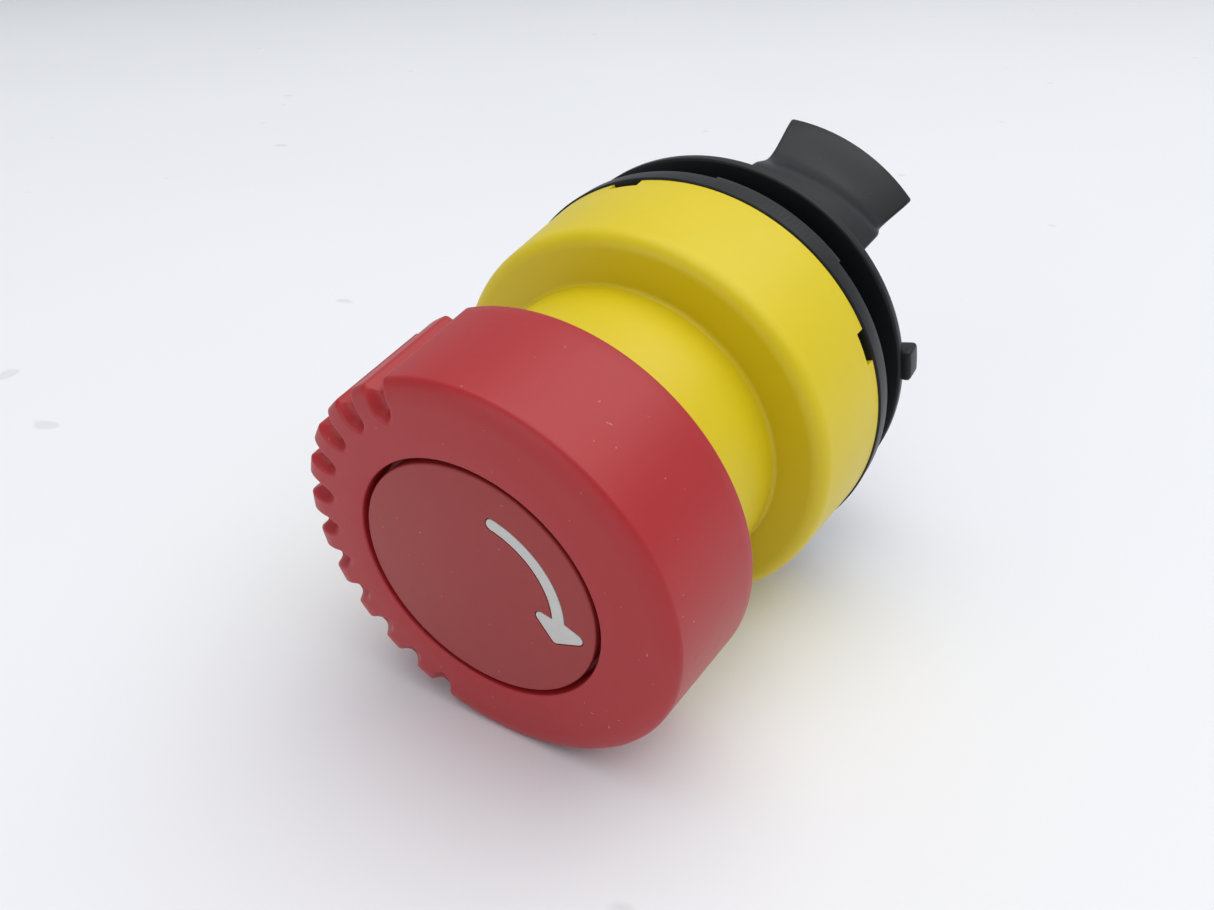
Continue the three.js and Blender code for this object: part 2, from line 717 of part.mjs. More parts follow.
function baseBody() {
  const root = 0.5;
  let body = solid(spun([
    [spigotInner, spigotFront], [spigotRadius, spigotFront], [spigotRadius, flangeFront],
    [flangeRadius, flangeFront], [flangeRadius, flangeRear], [barrelRadius, flangeRear],
    [barrelRadius, barrelLength], [barrelInner, barrelLength], [barrelInner, chamberFloor],
    [spigotInner, chamberFloor],
  ]));
  for (const [from, to] of flangeStepSectors) {
    const inner = gasketRadius + gap;
    body = body.add(solid(sector(inner, flangeRadius, flangeRear - bite, flangeRear + flangeStep, from, to)));
  }
  for (const angle of notchAngles) {
    const half = THREE.MathUtils.radToDeg((notchWidth / 2 - gap) / collarRearRadius);
    const front = collarRear - notchDepth + gap;
    const outer = collarRearRadius - tongueSink;
    const rear = flangeFront + root;
    const tongue = sector(spigotRadius - bite, outer, front, rear, angle - half, angle + half);
    body = body.add(solid(tongue));
  }
  const key = block([-keyWidth / 2, flangeRear - root, barrelInner + bite],
    [keyWidth / 2, ringFront - gap, barrelRadius + keyHeight]);
  body = body.add(solid(key));
  for (const angle of bayonetAngles) {
    const half = bayonetArc / 2;
    const outer = barrelRadius + bayonetHeight;
    const rear = bayonetFront + bayonetLength;
    const lug = sector(barrelRadius - bite, outer, bayonetFront, rear, angle - half, angle + half);
    body = body.add(solid(lug));
  }
  for (const side of [-1, 1]) {
    const hole = rod(cageScrewRadius + gap, chamberFloor - bite, screwHoleFloor, slim);
    body = body.subtract(solid(hole.translate(0, 0, side * cageScrewPlace)));
  }
  return geometryOf(body);
}

// ---------------------------------------------------------------- seals, bush, cage and retainer

function guideBush() {
  const flangeOuter = spigotInner - bushFlangePlay;
  const flangeSeat = collarCeiling + gap;
  const body = solid(spun([
    [bushBore, bushFront], [neckInner - gap, bushFront], [neckInner - gap, flangeSeat],
    [flangeOuter, flangeSeat], [flangeOuter, cageFront - gap], [coneBore, cageFront - gap],
    [coneBore, shoulder - gap], [bushBore, shoulder - gap],
  ], coarse));
  const reach = keyReach + gap;
  const half = carriageKeyWidth / 2 + gap;
  return geometryOf(body.subtract(solid(block([-reach, bushFront - bite, -half], [reach, cageFront, half]))));
}

function latchCage() {
  let body = solid(ring(coneBore + hair, spigotInner - gap, cageFront, cageRear));
  const slotHalf = latchWidth / 2 + gap;
  const slot = block(
    [-spigotInner - bite, latchMiddle - latchThickness / 2 - gap, -slotHalf],
    [spigotInner + bite, latchMiddle + latchThickness / 2 + gap, slotHalf],
  );
  body = body.subtract(solid(slot));
  for (const side of [-1, 1]) {
    const hole = rod(cageScrewRadius + gap, cageFront - bite, cageRear + bite, slim);
    const seat = rod(cageScrewHead + gap, cageFront - bite, cageFront + cageHeadDepth, slim);
    for (const cutter of [hole, seat]) {
      body = body.subtract(solid(cutter.translate(0, 0, side * cageScrewPlace)));
    }
  }
  return geometryOf(body);
}

function cageScrew(side) {
  const headRear = cageFront + cageHeadDepth - gap;
  const headFront = cageFront + hair;
  const shape = spun([
    [0, headFront], [cageScrewHead - cageScrewDome, headFront], [cageScrewHead, headRear],
    [cageScrewRadius, headRear], [cageScrewRadius, screwHoleFloor - gap], [0, screwHoleFloor - gap],
  ], slim);
  const screw = geometryOf(crossSlot(solid(shape), headFront, cageScrewSlotReach));
  return screw.translate(0, 0, side * cageScrewPlace);
}

function neckSeal() {
  const inner = bushBore + sealPlay;
  const outer = neckInner - gap;
  const rear = bushFront - gap;
  const front = rear - sealLength;
  const wiper = spun([[inner, front], [outer, front], [outer, rear], [inner + sealLip, rear]], coarse);
  const reach = keyReach + sealKeyRoom;
  const half = carriageKeyWidth / 2 + sealKeyRoom + gap;
  const keyRoom = block([-reach, front - bite, -half], [reach, bushFront, half]);
  return geometryOf(solid(wiper).subtract(solid(keyRoom)));
}

function bodySeal() {
  const loop = new THREE.TorusGeometry(spigotRadius - sealInset, sealWire / 2, 8, coarse);
  return loop.rotateX(Math.PI / 2).translate(0, (collarCeiling + spigotFront) / 2, 0);
}

function springRetainer() {
  const bore = plungerRadius + gap + retainerPlay;
  const outer = barrelInner - gap;
  return spun([
    [bore, retainerFront], [outer, retainerFront], [outer, retainerRear], [bore + retainerLead, retainerRear],
  ], coarse);
}

function fixedPieces() {
  add('collar', collar(), collarYellow);
  add('base_body', baseBody(), blackPlastic);
  const gasket = ring(barrelRadius + keyHeight + gap, gasketRadius, flangeRear + gasketClear, 0, fine);
  add('panel_gasket', gasket, rubber);
  add('guide_bush', guideBush(), naturalPlastic);
  add('latch_cage', latchCage(), innerPlastic);
  add('cage_screw_top', cageScrew(1), zincSteel);
  add('cage_screw_bottom', cageScrew(-1), zincSteel);
  add('neck_seal', neckSeal(), rubber);
  add('body_seal', bodySeal(), rubber);
  add('spring_retainer', springRetainer(), innerPlastic);
  const springFront = plungerFlangeRear + gap;
  const springRear = retainerFront - gap;
  const spring = coil(returnSpringRadius, returnSpringWire, springFront, springRear, returnSpringTurns, 14);
  add('return_spring', spring, springSteel);
}

// ---------------------------------------------------------------- latches

function latchPieces() {
  for (const [side, sign] of [['left', -1], ['right', 1]]) {
    const front = latchMiddle - latchThickness / 2;
    const rear = latchMiddle + latchThickness / 2;
    const nose = (y) => coneRadius - latchSlope * (y - coneFront) + gap;
    const outer = spigotInner - latchSpringLength - 2 * gap;
    const outline = new THREE.Shape([
      new THREE.Vector2(sign * nose(front), front), new THREE.Vector2(sign * outer, front),
      new THREE.Vector2(sign * outer, rear), new THREE.Vector2(sign * nose(rear), rear),
    ]);
    const slide = new THREE.ExtrudeGeometry(outline, { depth: latchWidth, bevelEnabled: false });
    add('latch_slide_' + side, slide.translate(0, 0, -latchWidth / 2), naturalPlastic);
    const spring = coil(latchSpringRadius, latchSpringWire, 0, latchSpringLength, latchSpringTurns, 8, 5);
    spring.rotateZ(-sign * Math.PI / 2).translate(sign * (outer + gap), latchMiddle, 0);
    add('latch_spring_' + side, spring, springSteel);
  }
}

// ---------------------------------------------------------------- clamping ring

// The grip stands behind the ring as a curved plate: hollow in its middle, flared at its end.
function gripPlate(from, to) {
  return swept(7, 8, (turn, along, face) => {
    const spread = gripEndSpread * along ** 1.6;
    const angle = radians(from - spread + (to - from + spread) * turn);
    const hollow = gripWaist * Math.sin(Math.PI * along) * (1 - 0.35 * along);
    const radius = gripRootRadius + gripRise * along - hollow - (face ? 0 : gripThickness);
    const y = ringFront + gripStart + (gripLength - gripStart) * along;
    return [radius * Math.sin(angle), y, radius * Math.cos(angle)];
  });
}

function mountingRing() {
  const bore = barrelRadius + gap + hair;
  const hubRadius = bore + ringHubWall;
  const rimRear = ringFront + ringRimThickness;
  let body = solid(spun([
    [bore, ringFront], [ringRadius, ringFront], [ringRadius, rimRear], [hubRadius, rimRear + ringHubFillet],
    [hubRadius, ringHubRear], [bore, ringHubRear],
  ]));
  for (const [from, to] of gripAngles) {
    const webOuter = gripEndRadius - gripThickness - 2 * hair;
    const webSides = [from + gripWebInset, to - gripWebInset];
    const web = sector(bore + bite, webOuter, ringFront + gripStart, ringFront + gripWebLength, ...webSides);
    body = body.add(solid(gripPlate(from, to))).add(solid(web));
    const slitInner = gripEndRadius - gripSlitDepth;
    const slitSides = gripSlit.map((degrees) => from + degrees);
    const slit = sector(slitInner, ringRadius + bite, rimRear, rimRear + gripSlitWidth, ...slitSides);
    body = body.subtract(solid(slit));
  }
  for (const angle of lugAngles) {
    const half = lugArc / 2;
    const front = rimRear - gripSlitWidth;
    const rear = rimRear + lugLength;
    const lug = sector(ringRadius - lugRoot, lugRadius, front, rear, angle - half, angle + half);
    body = body.add(solid(lug));
  }
  for (const angle of bayonetAngles) {
    const free = angle + ringTurn;
    const half = bayonetArc / 2 + bayonetPlay;
    const outer = barrelRadius + bayonetHeight + gap;
    const room = sector(bore - bite, outer, ringFront - bite, ringHubRear + bite, free - half, free + half);
    body = body.subtract(solid(room));
  }
  return geometryOf(body);
}

capPieces();
spindlePieces();
travelPieces();
fixedPieces();
latchPieces();
add('mounting_ring', mountingRing(), blackPlastic);

export default head;
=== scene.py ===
"""Looks of a panel-mount emergency stop head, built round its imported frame.

Metres, in the frame of the part: the push axis is Y, the cap faces -Y, +Z is up, and the origin is the
centre of the panel's hole. Angles run round the push axis from +Z towards +X.
"""

import json
import math

import bmesh
import bpy
from mathutils import Matrix, Quaternion, Vector


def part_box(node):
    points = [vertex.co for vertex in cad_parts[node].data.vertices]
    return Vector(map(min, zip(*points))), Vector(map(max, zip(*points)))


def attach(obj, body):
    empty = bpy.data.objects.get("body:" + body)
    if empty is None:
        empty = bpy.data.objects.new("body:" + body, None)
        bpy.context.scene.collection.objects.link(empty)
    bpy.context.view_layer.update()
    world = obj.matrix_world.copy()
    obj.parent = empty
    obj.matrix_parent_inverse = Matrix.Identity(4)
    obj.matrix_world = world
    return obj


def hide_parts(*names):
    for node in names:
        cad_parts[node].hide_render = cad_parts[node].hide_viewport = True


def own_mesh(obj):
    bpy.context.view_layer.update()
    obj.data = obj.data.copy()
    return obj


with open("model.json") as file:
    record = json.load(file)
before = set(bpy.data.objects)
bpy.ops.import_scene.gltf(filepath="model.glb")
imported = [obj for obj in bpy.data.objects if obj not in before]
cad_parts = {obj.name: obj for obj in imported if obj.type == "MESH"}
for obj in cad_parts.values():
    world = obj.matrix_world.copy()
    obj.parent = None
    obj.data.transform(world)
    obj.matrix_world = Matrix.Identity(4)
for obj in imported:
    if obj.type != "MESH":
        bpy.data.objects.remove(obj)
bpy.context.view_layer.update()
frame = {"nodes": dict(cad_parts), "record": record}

bl_info = {
    "name": "Emergency stop head",
    "version": (1, 0, 0),
    "blender": (4, 5, 0),
    "location": "View3D > Sidebar > Stop head",
    "description": "Builds the fine meshes, finishes and studio of an emergency stop head",
    "category": "Object",
}

MM = 0.001
COLUMNS = 240                   # faces round a turned piece
SHARP = 35.0                    # degrees between faces that smooth shading keeps apart
OVERLAP = 1 * MM                # how far a block reaches past what it cuts, or into what it joins


# ---------------------------------------------------------------- what the frame gives

def stations(node):
    """The front and rear station of a CAD node along the push axis."""
    low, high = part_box(node)
    return low.y, high.y


def reach(node):
    """How far a CAD node reaches from the push axis, along X or Z."""
    low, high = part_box(node)
    return max(high.x, high.z, -low.x, -low.z)


CAP_FRONT, CAP_REAR = stations("mushroom_cap")
DISC_FRONT, DISC_REAR = stations("face_disc")
NECK_FRONT, COLLAR_REAR = stations("collar")
SPIGOT_FRONT, BARREL_REAR = stations("base_body")
GASKET_FRONT, GASKET_REAR = stations("panel_gasket")
RING_FRONT, GRIP_REAR = stations("mounting_ring")


# ---------------------------------------------------------------- kinds of setting

def length(name, description, millimetres):
    return bpy.props.FloatProperty(
        name=name, description=description, default=millimetres * MM, unit="LENGTH", precision=5)


def place(name, description, metres):
    return bpy.props.FloatProperty(
        name=name, description=description, default=metres, unit="LENGTH", precision=5)


def angle(name, description, degrees):
    return bpy.props.FloatProperty(
        name=name, description=description, default=math.radians(degrees), subtype="ANGLE")


def share(name, description, value, highest=1.0):
    return bpy.props.FloatProperty(
        name=name, description=description, default=value, min=0.0, max=highest)


def count(name, description, value):
    return bpy.props.IntProperty(name=name, description=description, default=value, min=1)


def colour(name, description, red, green, blue):
    return bpy.props.FloatVectorProperty(
        name=name, description=description, default=(red, green, blue), min=0.0, max=1.0, subtype="COLOR")


# ---------------------------------------------------------------- settings

class CapSizes(bpy.types.PropertyGroup):
    radius: place("Radius", "At the rear rim", reach("mushroom_cap"))
    front_radius: length("Front radius", "Where the front edge's rounding ends", 19.1)
    face_radius: length("Face radius", "Flat part of the face", 16.8)
    edge_depth: length("Edge depth", "Depth of the front edge's rounding", 0.95)
    wall: length("Wall", "Thickness of the skirt at the rear rim", 3.3)
    front_wall: length("Front wall", "Thickness behind the face", 3.75)
    recess_radius: length("Recess radius", "Round recess that the disc lies in", 12.25)
    recess_depth: length("Recess depth", "From the face to the recess's floor", 2.1)
    scoops: count("Scoops", "Finger scoops round the left side", 11)
    scoop_pitch: angle("Scoop pitch", "Angle from one scoop to the next", 13.35)
    scoop_middle: angle("Scoop middle", "Angle of the middle scoop", -90.0)
    scoop_depth: length("Scoop depth", "Depth of a scoop in the cap's side", 1.1)
    scoop_half_width: share("Scoop half width", "Half width of a scoop as a share of the pitch", 0.29)
    scoop_end: length("Scoop end", "Radius where a scoop ends on the face", 15.3)
    set_back: length("Set-back", "How far the scooped side lies under the smooth one", 0.15)
    rim: length("Rim rounding", "Rounding of the rear rim", 0.25)
    boss_radius: length("Boss radius", "Boss inside that takes the spindle", 6.5)
    boss_length: length("Boss length", "From the ceiling to the boss's end", 5.5)
    hole_radius: length("Hole radius", "Hole for the cap's screw", 1.8)
    seat_radius: length("Seat radius", "Recess for the screw's head", 3.3)
    seat_depth: length("Seat depth", "From the disc's recess to the screw's seat", 2.5)
    socket_half: length("Socket half width", "Half width of the square socket", 2.9)
    socket_web: length("Socket web", "Between the screw's seat and the socket", 1.5)


class FaceSizes(bpy.types.PropertyGroup):
    radius: place("Radius", "Radius of the disc", reach("face_disc"))
    tail: angle("Tail", "Angle at the middle of the arrow's round end", 21.0)
    neck: angle("Neck", "Angle where the shaft meets the head", 95.0)
    tail_radius: length("Tail radius", "Shaft's middle line at the tail", 7.82)
    neck_radius: length("Neck radius", "Shaft's middle line at the head", 8.22)
    width: length("Width", "Width of the shaft", 1.14)
    height: length("Height", "Thickness of the inlay", 0.35)
    gap: length("Gap", "Room round the inlay", 0.1)


class CollarSizes(bpy.types.PropertyGroup):
    depth: length("Depth", "From the collar's face to its rear edge", 11.95)
    front_radius: length("Front radius", "At the front edge", 21.05)
    rear_radius: length("Rear radius", "At the rear edge", 22.2)
    inner_radius: length("Inner radius", "Inside of the skirt", 20.0)
    edge: length("Edge", "Rounding of the front edge", 1.7)
    wall: length("Wall", "Thickness of the face", 2.0)
    neck_radius: length("Neck radius", "At the neck's base", 16.0)
    neck_front_radius: length("Neck front radius", "At the neck's front end", 15.75)
    neck_wall: length("Neck wall", "Thickness of the neck", 2.6)
    blend: length("Blend", "Rounding between neck and face", 0.45)
    notch_width: length("Notch width", "Width of a latch notch", 3.4)
    notch_depth: length("Notch depth", "Depth of a latch notch", 1.25)


class BaseSizes(bpy.types.PropertyGroup):
    flange_radius: place("Flange radius", "Outside of the flange", reach("base_body"))
    flange_thickness: length("Flange thickness", "Band seen behind the collar", 2.4)
    flange_step: length("Flange step", "Height of the raised sectors", 0.35)
    spigot_radius: length("Spigot radius", "What the collar sits on", 19.7)
    spigot_inner: length("Spigot bore", "Inside of the spigot", 17.4)
    chamber: length("Chamber", "From the flange's rear face to the chamber's floor", 3.8)
    barrel_radius: length("Barrel radius", "What passes through the panel", 15.0)
    barrel_inner: length("Barrel bore", "Inside of the barrel", 12.8)
    gasket_radius: place("Gasket radius", "Outside of the gasket", reach("panel_gasket"))
    key_width: length("Key width", "Width of the key on the barrel", 3.2)
    key_height: length("Key height", "Height of the key on the barrel", 0.9)
    bayonet_arc: angle("Bayonet arc", "Angle that a bayonet lug spans", 30.0)
    bayonet_height: length("Bayonet height", "Height of a bayonet lug", 1.5)
    bayonet_length: length("Bayonet length", "Length of a bayonet lug", 2.0)
    gap: length("Gap", "Room between pieces that seat on each other", 0.3)
    seam: length("Seam", "Between the collar's rear edge and the flange", 0.06)


class RingSizes(bpy.types.PropertyGroup):
    radius: length("Radius", "Outside of the rim", 22.15)
    rim: length("Rim", "Thickness of the rim", 1.3)
    bore: length("Bore", "Radius of the bore round the barrel", 15.4)
    hub_wall: length("Hub wall", "Thickness of the hub", 2.9)
    hub_length: length("Hub length", "Length of the hub", 8.0)
    turn: angle("Turn", "Angle from clamped to free", 50.0)
    grip_from: angle("Grip from", "Angle of the grip's left edge at the ring", 8.3)
    grip_to: angle("Grip to", "Angle of the grip's right edge", 49.4)
    grip_spread: angle("Grip spread", "How much further the grip's end reaches on the left", 3.1)
    grip_radius: length("Grip radius", "At the grip's end", 22.15)
    grip_rise: length("Grip rise", "How much lower the grip's root lies than its end", 1.1)
    grip_waist: length("Grip waist", "Hollow of the saddle", 1.5)
    grip_thickness: length("Grip thickness", "Thickness of the grip's plate", 2.2)
    slit_from: angle("Slit from", "From the grip's left edge to the slit", 22.4)
    slit_to: angle("Slit to", "From the grip's left edge to the slit's end", 35.1)
    slit_width: length("Slit width", "Width of the slit at the grip's root", 0.4)
    lug_angle: angle("Lug angle", "Angle of the lug", 83.0)
    lug_arc: angle("Lug arc", "Angle that the lug spans", 8.6)
    lug_radius: length("Lug radius", "Outside of the lug", 23.05)
    lug_length: length("Lug length", "Length of the lug behind the rim", 2.1)


class InnerSizes(bpy.types.PropertyGroup):
    bore: length("Bore", "Radius of the bore round the spindle", 3.3)
    plunger_radius: length("Plunger radius", "Outside of the plunger's tube", 8.8)
    plunger_flange: length("Plunger flange", "Radius of the plunger's flange", 12.3)
    flange_thickness: length("Plunger flange thickness", "Thickness of the plunger's flange", 1.6)
    pad_radius: length("Pad radius", "Radius of the push pad", 6.3)
    pad_flat: length("Pad flat", "Radius of the flat that pushes the contact block", 5.0)
    return_radius: length("Return spring radius", "Middle line of the return spring", 10.6)
    return_wire: length("Return spring wire", "Wire of the return spring", 1.1)
    twist_radius: length("Twist spring radius", "Middle line of the twist spring", 4.7)
    twist_wire: length("Twist spring wire", "Wire of the twist spring", 0.9)
    latch_radius: length("Latch spring radius", "Middle line of a latch spring", 1.3)
    latch_wire: length("Latch spring wire", "Wire of a latch spring", 0.4)


class Finishes(bpy.types.PropertyGroup):
    cap_red: colour("Cap red", "Moulded red of the cap", 0.39, 0.019, 0.023)
    disc_red: colour("Disc red", "Darker red of the disc", 0.32, 0.030, 0.029)
    arrow_grey: colour("Arrow grey", "Pale grey of the arrow", 0.60, 0.59, 0.56)
    collar_yellow: colour("Collar yellow", "Moulded yellow of the collar", 0.69, 0.54, 0.006)
    black: colour("Black", "Black plastic of the base and ring", 0.010, 0.0105, 0.0125)
    inner: colour("Inner grey", "Grey plastic of inner pieces", 0.07, 0.075, 0.085)
    natural: colour("Natural", "Undyed plastic of the sliding pieces", 0.68, 0.66, 0.58)
    rubber: colour("Rubber", "Black rubber of the seals", 0.010, 0.010, 0.011)
    steel: colour("Steel", "Spring steel", 0.42, 0.43, 0.45)
    zinc: colour("Zinc", "Zinc plated steel", 0.52, 0.53, 0.55)
    floor: colour("Floor", "Pale table top", 0.80, 0.81, 0.84)


class StageSizes(bpy.types.PropertyGroup):
    azimuth: angle("Azimuth", "Camera's angle round the part, 0 looks along +Y", 33.04)
    elevation: angle("Elevation", "Camera's angle above the push axis", 34.98)
    roll: angle("Roll", "Camera's turn about its own line of sight", -3.8)
    distance: length("Distance", "From the camera to the point it looks at", 98.6)
    look_x: length("Look at X", "Point that the camera looks at", -2.59)
    look_y: length("Look at Y", "Point that the camera looks at", -15.23)
    look_z: length("Look at Z", "Point that the camera looks at", -3.71)
    focal_length: share("Focal length", "In picture widths", 0.766062603, 10.0)
    floor_size: length("Floor size", "Width of the floor", 6000.0)


# ---------------------------------------------------------------- node graphs

def math_node(operation, swapped=False):
    """A method of Socket that adds one Math node."""
    def method(self, *others):
        values = (*others, self) if swapped else (self, *others)
        return self.graph.node("ShaderNodeMath", {"operation": operation}, dict(enumerate(values)))
    return method


class Socket:
    """A node's output. Arithmetic on it adds Math nodes."""

    __add__ = math_node("ADD")
    __sub__ = math_node("SUBTRACT")
    __rsub__ = math_node("SUBTRACT", swapped=True)
    __mul__ = math_node("MULTIPLY")
    __rmul__ = math_node("MULTIPLY", swapped=True)
    __truediv__ = math_node("DIVIDE")
    __pow__ = math_node("POWER")
    __abs__ = math_node("ABSOLUTE")
    sine = math_node("SINE")
    cosine = math_node("COSINE")
    arctangent = math_node("ARCTAN2")
    rounded = math_node("ROUND")
    at_least = math_node("MAXIMUM")
    at_most = math_node("MINIMUM")

    def __init__(self, graph, output):
        self.graph = graph
        self.output = output


class Graph:
    """A node tree that is filled through one method."""

    def __init__(self, tree):
        self.tree = tree

    def node(self, kind, settings=None, sockets=None, output=0):
        """Adds a node: its settings first, then its sockets' values or links. Gives one output."""
        made = self.tree.nodes.new(kind)
        for name, value in (settings or {}).items():
            setattr(made, name, value)
        for key, value in (sockets or {}).items():
            socket = self._input(made, key)
            if isinstance(value, Socket):
                self.tree.links.new(value.output, socket)
            else:
                socket.default_value = value
        if not made.outputs:
            return made
        if isinstance(output, str):
            found = next(s for s in made.outputs if output in (s.identifier, s.name))
            return Socket(self, found)
        return Socket(self, made.outputs[output])

    @staticmethod
    def _input(made, key):
        if isinstance(key, int):
            return made.inputs[key]
        return next(s for s in made.inputs if key in (s.identifier, s.name))

    def mixed(self, factor, first, second):
        """A colour between two colours."""
        return self.node("ShaderNodeMix", {"data_type": "RGBA"}, {
            "Factor_Float": factor, "A_Color": first, "B_Color": second}, "Result_Color")

    def noise(self, where, scale, detail=2.0, roughness=0.5):
        """Smooth noise whose scale is in features per metre."""
        return self.node("ShaderNodeTexNoise", None, {
            "Vector": where, "Scale": scale, "Detail": detail, "Roughness": roughness}, "Fac")

    def between(self, value, low, high):
        """0 under low, 1 over high, smooth between."""
        return self.node("ShaderNodeMapRange", {"interpolation_type": "SMOOTHSTEP"}, {
            "Value": value, "From Min": low, "From Max": high})


# ---------------------------------------------------------------- finishes

def shaded(colour_value, level):
    """A colour made lighter or darker, with alpha."""
    return tuple(min(1.0, channel * level) for channel in colour_value) + (1.0,)


def finish_of(slot):
    """The fine material for a slot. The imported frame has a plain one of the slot's own name."""
    return bpy.data.materials["fine_" + slot]


def finish(slot):
    """A new fine material's graph, its Principled shader, and Object coordinates."""
    material = bpy.data.materials.new("fine_" + slot)
    material.use_nodes = True
    graph = Graph(material.node_tree)
    shader = material.node_tree.nodes["Principled BSDF"]
    where = graph.node("ShaderNodeTexCoord", output="Object")
    return graph, shader, where


def connect(graph, shader, **links):
    """Links sockets to the shader's inputs that they are named after."""
    for key, value in links.items():
        graph.tree.links.new(value.output, shader.inputs[key.replace("_", " ")])


def bumped(graph, height, depth, strength, below=None):
    """A bump of a depth in metres, over another bump where one is given."""
    sockets = {"Height": height, "Distance": depth, "Strength": strength}
    if below is not None:
        sockets["Normal"] = below
    return graph.node("ShaderNodeBump", None, sockets)


DUST = (0.62, 0.60, 0.58, 1.0)
# Noise scales of moulded plastic, in features per metre.
CLOUDS, FLOW, SCUFFS, SPECKS, GRAIN, FINE_GRAIN = 140.0, 520.0, 900.0, 1900.0, 1500.0, 7500.0


def moulded_plastic(name, base, roughness, mottle, grain, specks, gloss=0.4, subsurface=0.0):
    """Satin moulded plastic: faint mottling, a fine spark-eroded grain, dust specks and light scuffs."""
    graph, shader, where = finish(name)
    cloud = graph.noise(where, CLOUDS, 3.0)
    flow = graph.noise(where, FLOW, 2.0)
    tint = graph.mixed(cloud * 0.7 + flow * 0.3, shaded(base, 1 - mottle), shaded(base, 1 + mottle))
    speck = graph.between(graph.noise(where, SPECKS, 1.0), 0.76, 0.82) * graph.between(cloud, 0.35, 0.65)
    tint = graph.mixed(speck * specks, tint, DUST)
    scuff = graph.between(graph.noise(where, SCUFFS, 5.0, 0.7), 0.56, 0.74)
    rough = (cloud - 0.5) * 0.08 + scuff * 0.07 + speck * 0.2 + roughness
    fine = graph.noise(where, FINE_GRAIN, 2.0)
    coarse = graph.noise(where, GRAIN, 3.0)
    normal = bumped(graph, coarse, grain * MM, 0.3)
    normal = bumped(graph, fine, grain * MM * 0.3, 0.6, normal)
    connect(graph, shader, Base_Color=tint, Roughness=rough, Normal=normal)
    shader.inputs["Subsurface Weight"].default_value = subsurface
    shader.inputs["Subsurface Radius"].default_value = (1.0, 0.35, 0.2)
    shader.inputs["Subsurface Scale"].default_value = 0.6 * MM
    shader.inputs["Specular IOR Level"].default_value = gloss


def printed(name, base):
    """Matte pale inlay with a faint dither of the moulding under it."""
    graph, shader, where = finish(name)
    cloud = graph.noise(where, 900.0, 4.0)
    tint = graph.mixed(cloud, shaded(base, 0.93), shaded(base, 1.05))
    rough = cloud * 0.12 + 0.5
    normal = bumped(graph, graph.noise(where, 5200.0, 2.0), 0.006 * MM, 0.8)
    connect(graph, shader, Base_Color=tint, Roughness=rough, Normal=normal)


def rubber(name, base):
    """Matte black rubber with a paler bloom in patches."""
    graph, shader, where = finish(name)
    bloom = graph.noise(where, 260.0, 4.0, 0.6)
    tint = graph.mixed(graph.between(bloom, 0.45, 0.75), shaded(base, 1.0), shaded(base, 2.2))
    rough = bloom * 0.2 + 0.7
    normal = bumped(graph, graph.noise(where, 4200.0, 3.0), 0.012 * MM, 0.9)
    connect(graph, shader, Base_Color=tint, Roughness=rough, Normal=normal)


STREAKS = 3000.0                # fine streaks per metre along the push axis


def metal(name, base, roughness, streak):
    """Drawn or plated steel: fine streaks round the push axis, and a duller film in patches."""
    graph, shader, where = finish(name)
    lines = graph.node("ShaderNodeTexNoise", None, {
        "Vector": graph.node("ShaderNodeMapping", None, {
            "Vector": where, "Scale": (streak, STREAKS, streak)}),
        "Scale": 1.0, "Detail": 3.0}, "Fac")
    film = graph.noise(where, 420.0, 3.0)
    tint = graph.mixed(film, shaded(base, 0.82), shaded(base, 1.12))
    rough = lines * 0.16 + film * 0.1 + (roughness - 0.1)
    normal = bumped(graph, lines, 0.004 * MM, 0.8)
    connect(graph, shader, Base_Color=tint, Roughness=rough, Normal=normal)
    shader.inputs["Metallic"].default_value = 1.0


def table_top(name, base):
    """Pale matte board with the faintest unevenness and a few specks."""
    graph, shader, where = finish(name)
    cloud = graph.noise(where, 9.0, 3.0)
    speck = graph.between(graph.noise(where, 130.0, 0.0), 0.86, 0.89)
    tint = graph.mixed(cloud, shaded(base, 0.985), shaded(base, 1.015))
    tint = graph.mixed(speck * 0.3, tint, shaded(base, 0.6))
    rough = cloud * 0.1 + 0.6
    connect(graph, shader, Base_Color=tint, Roughness=rough)


SLOT_OF_NODE = {part["node"]: part["material_slot"] for part in frame["record"]["subparts"]}


def make_finishes(colours):
    """One fine material for each of the record's slots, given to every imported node."""
    moulded_plastic("cap_red", colours.cap_red, roughness=0.4, mottle=0.05, grain=0.005, specks=0.35)
    moulded_plastic("disc_red", colours.disc_red, roughness=0.44, mottle=0.05, grain=0.005, specks=0.4)
    printed("arrow_grey", colours.arrow_grey)
    moulded_plastic(
        "collar_yellow", colours.collar_yellow, roughness=0.42, mottle=0.035, grain=0.004, specks=0.15)
    moulded_plastic(
        "black_plastic", colours.black, roughness=0.4, mottle=0.15, grain=0.009, specks=0.12, gloss=0.24)
    moulded_plastic(
        "inner_plastic", colours.inner, roughness=0.5, mottle=0.1, grain=0.008, specks=0.2, gloss=0.35)
    moulded_plastic(
        "natural_plastic", colours.natural, roughness=0.45, mottle=0.05, grain=0.005, specks=0.1, gloss=0.35,
        subsurface=0.15)
    rubber("rubber", colours.rubber)
    metal("spring_steel", colours.steel, roughness=0.3, streak=500.0)
    metal("zinc_steel", colours.zinc, roughness=0.34, streak=900.0)
    for name, node in frame["nodes"].items():
        node.data.materials.clear()
        node.data.materials.append(finish_of(SLOT_OF_NODE[name]))


# ---------------------------------------------------------------- mesh helpers

def on_circle(radius, station, turn):
    """The point at a radius and an angle round the push axis."""
    return Vector((radius * math.sin(turn), station, radius * math.cos(turn)))


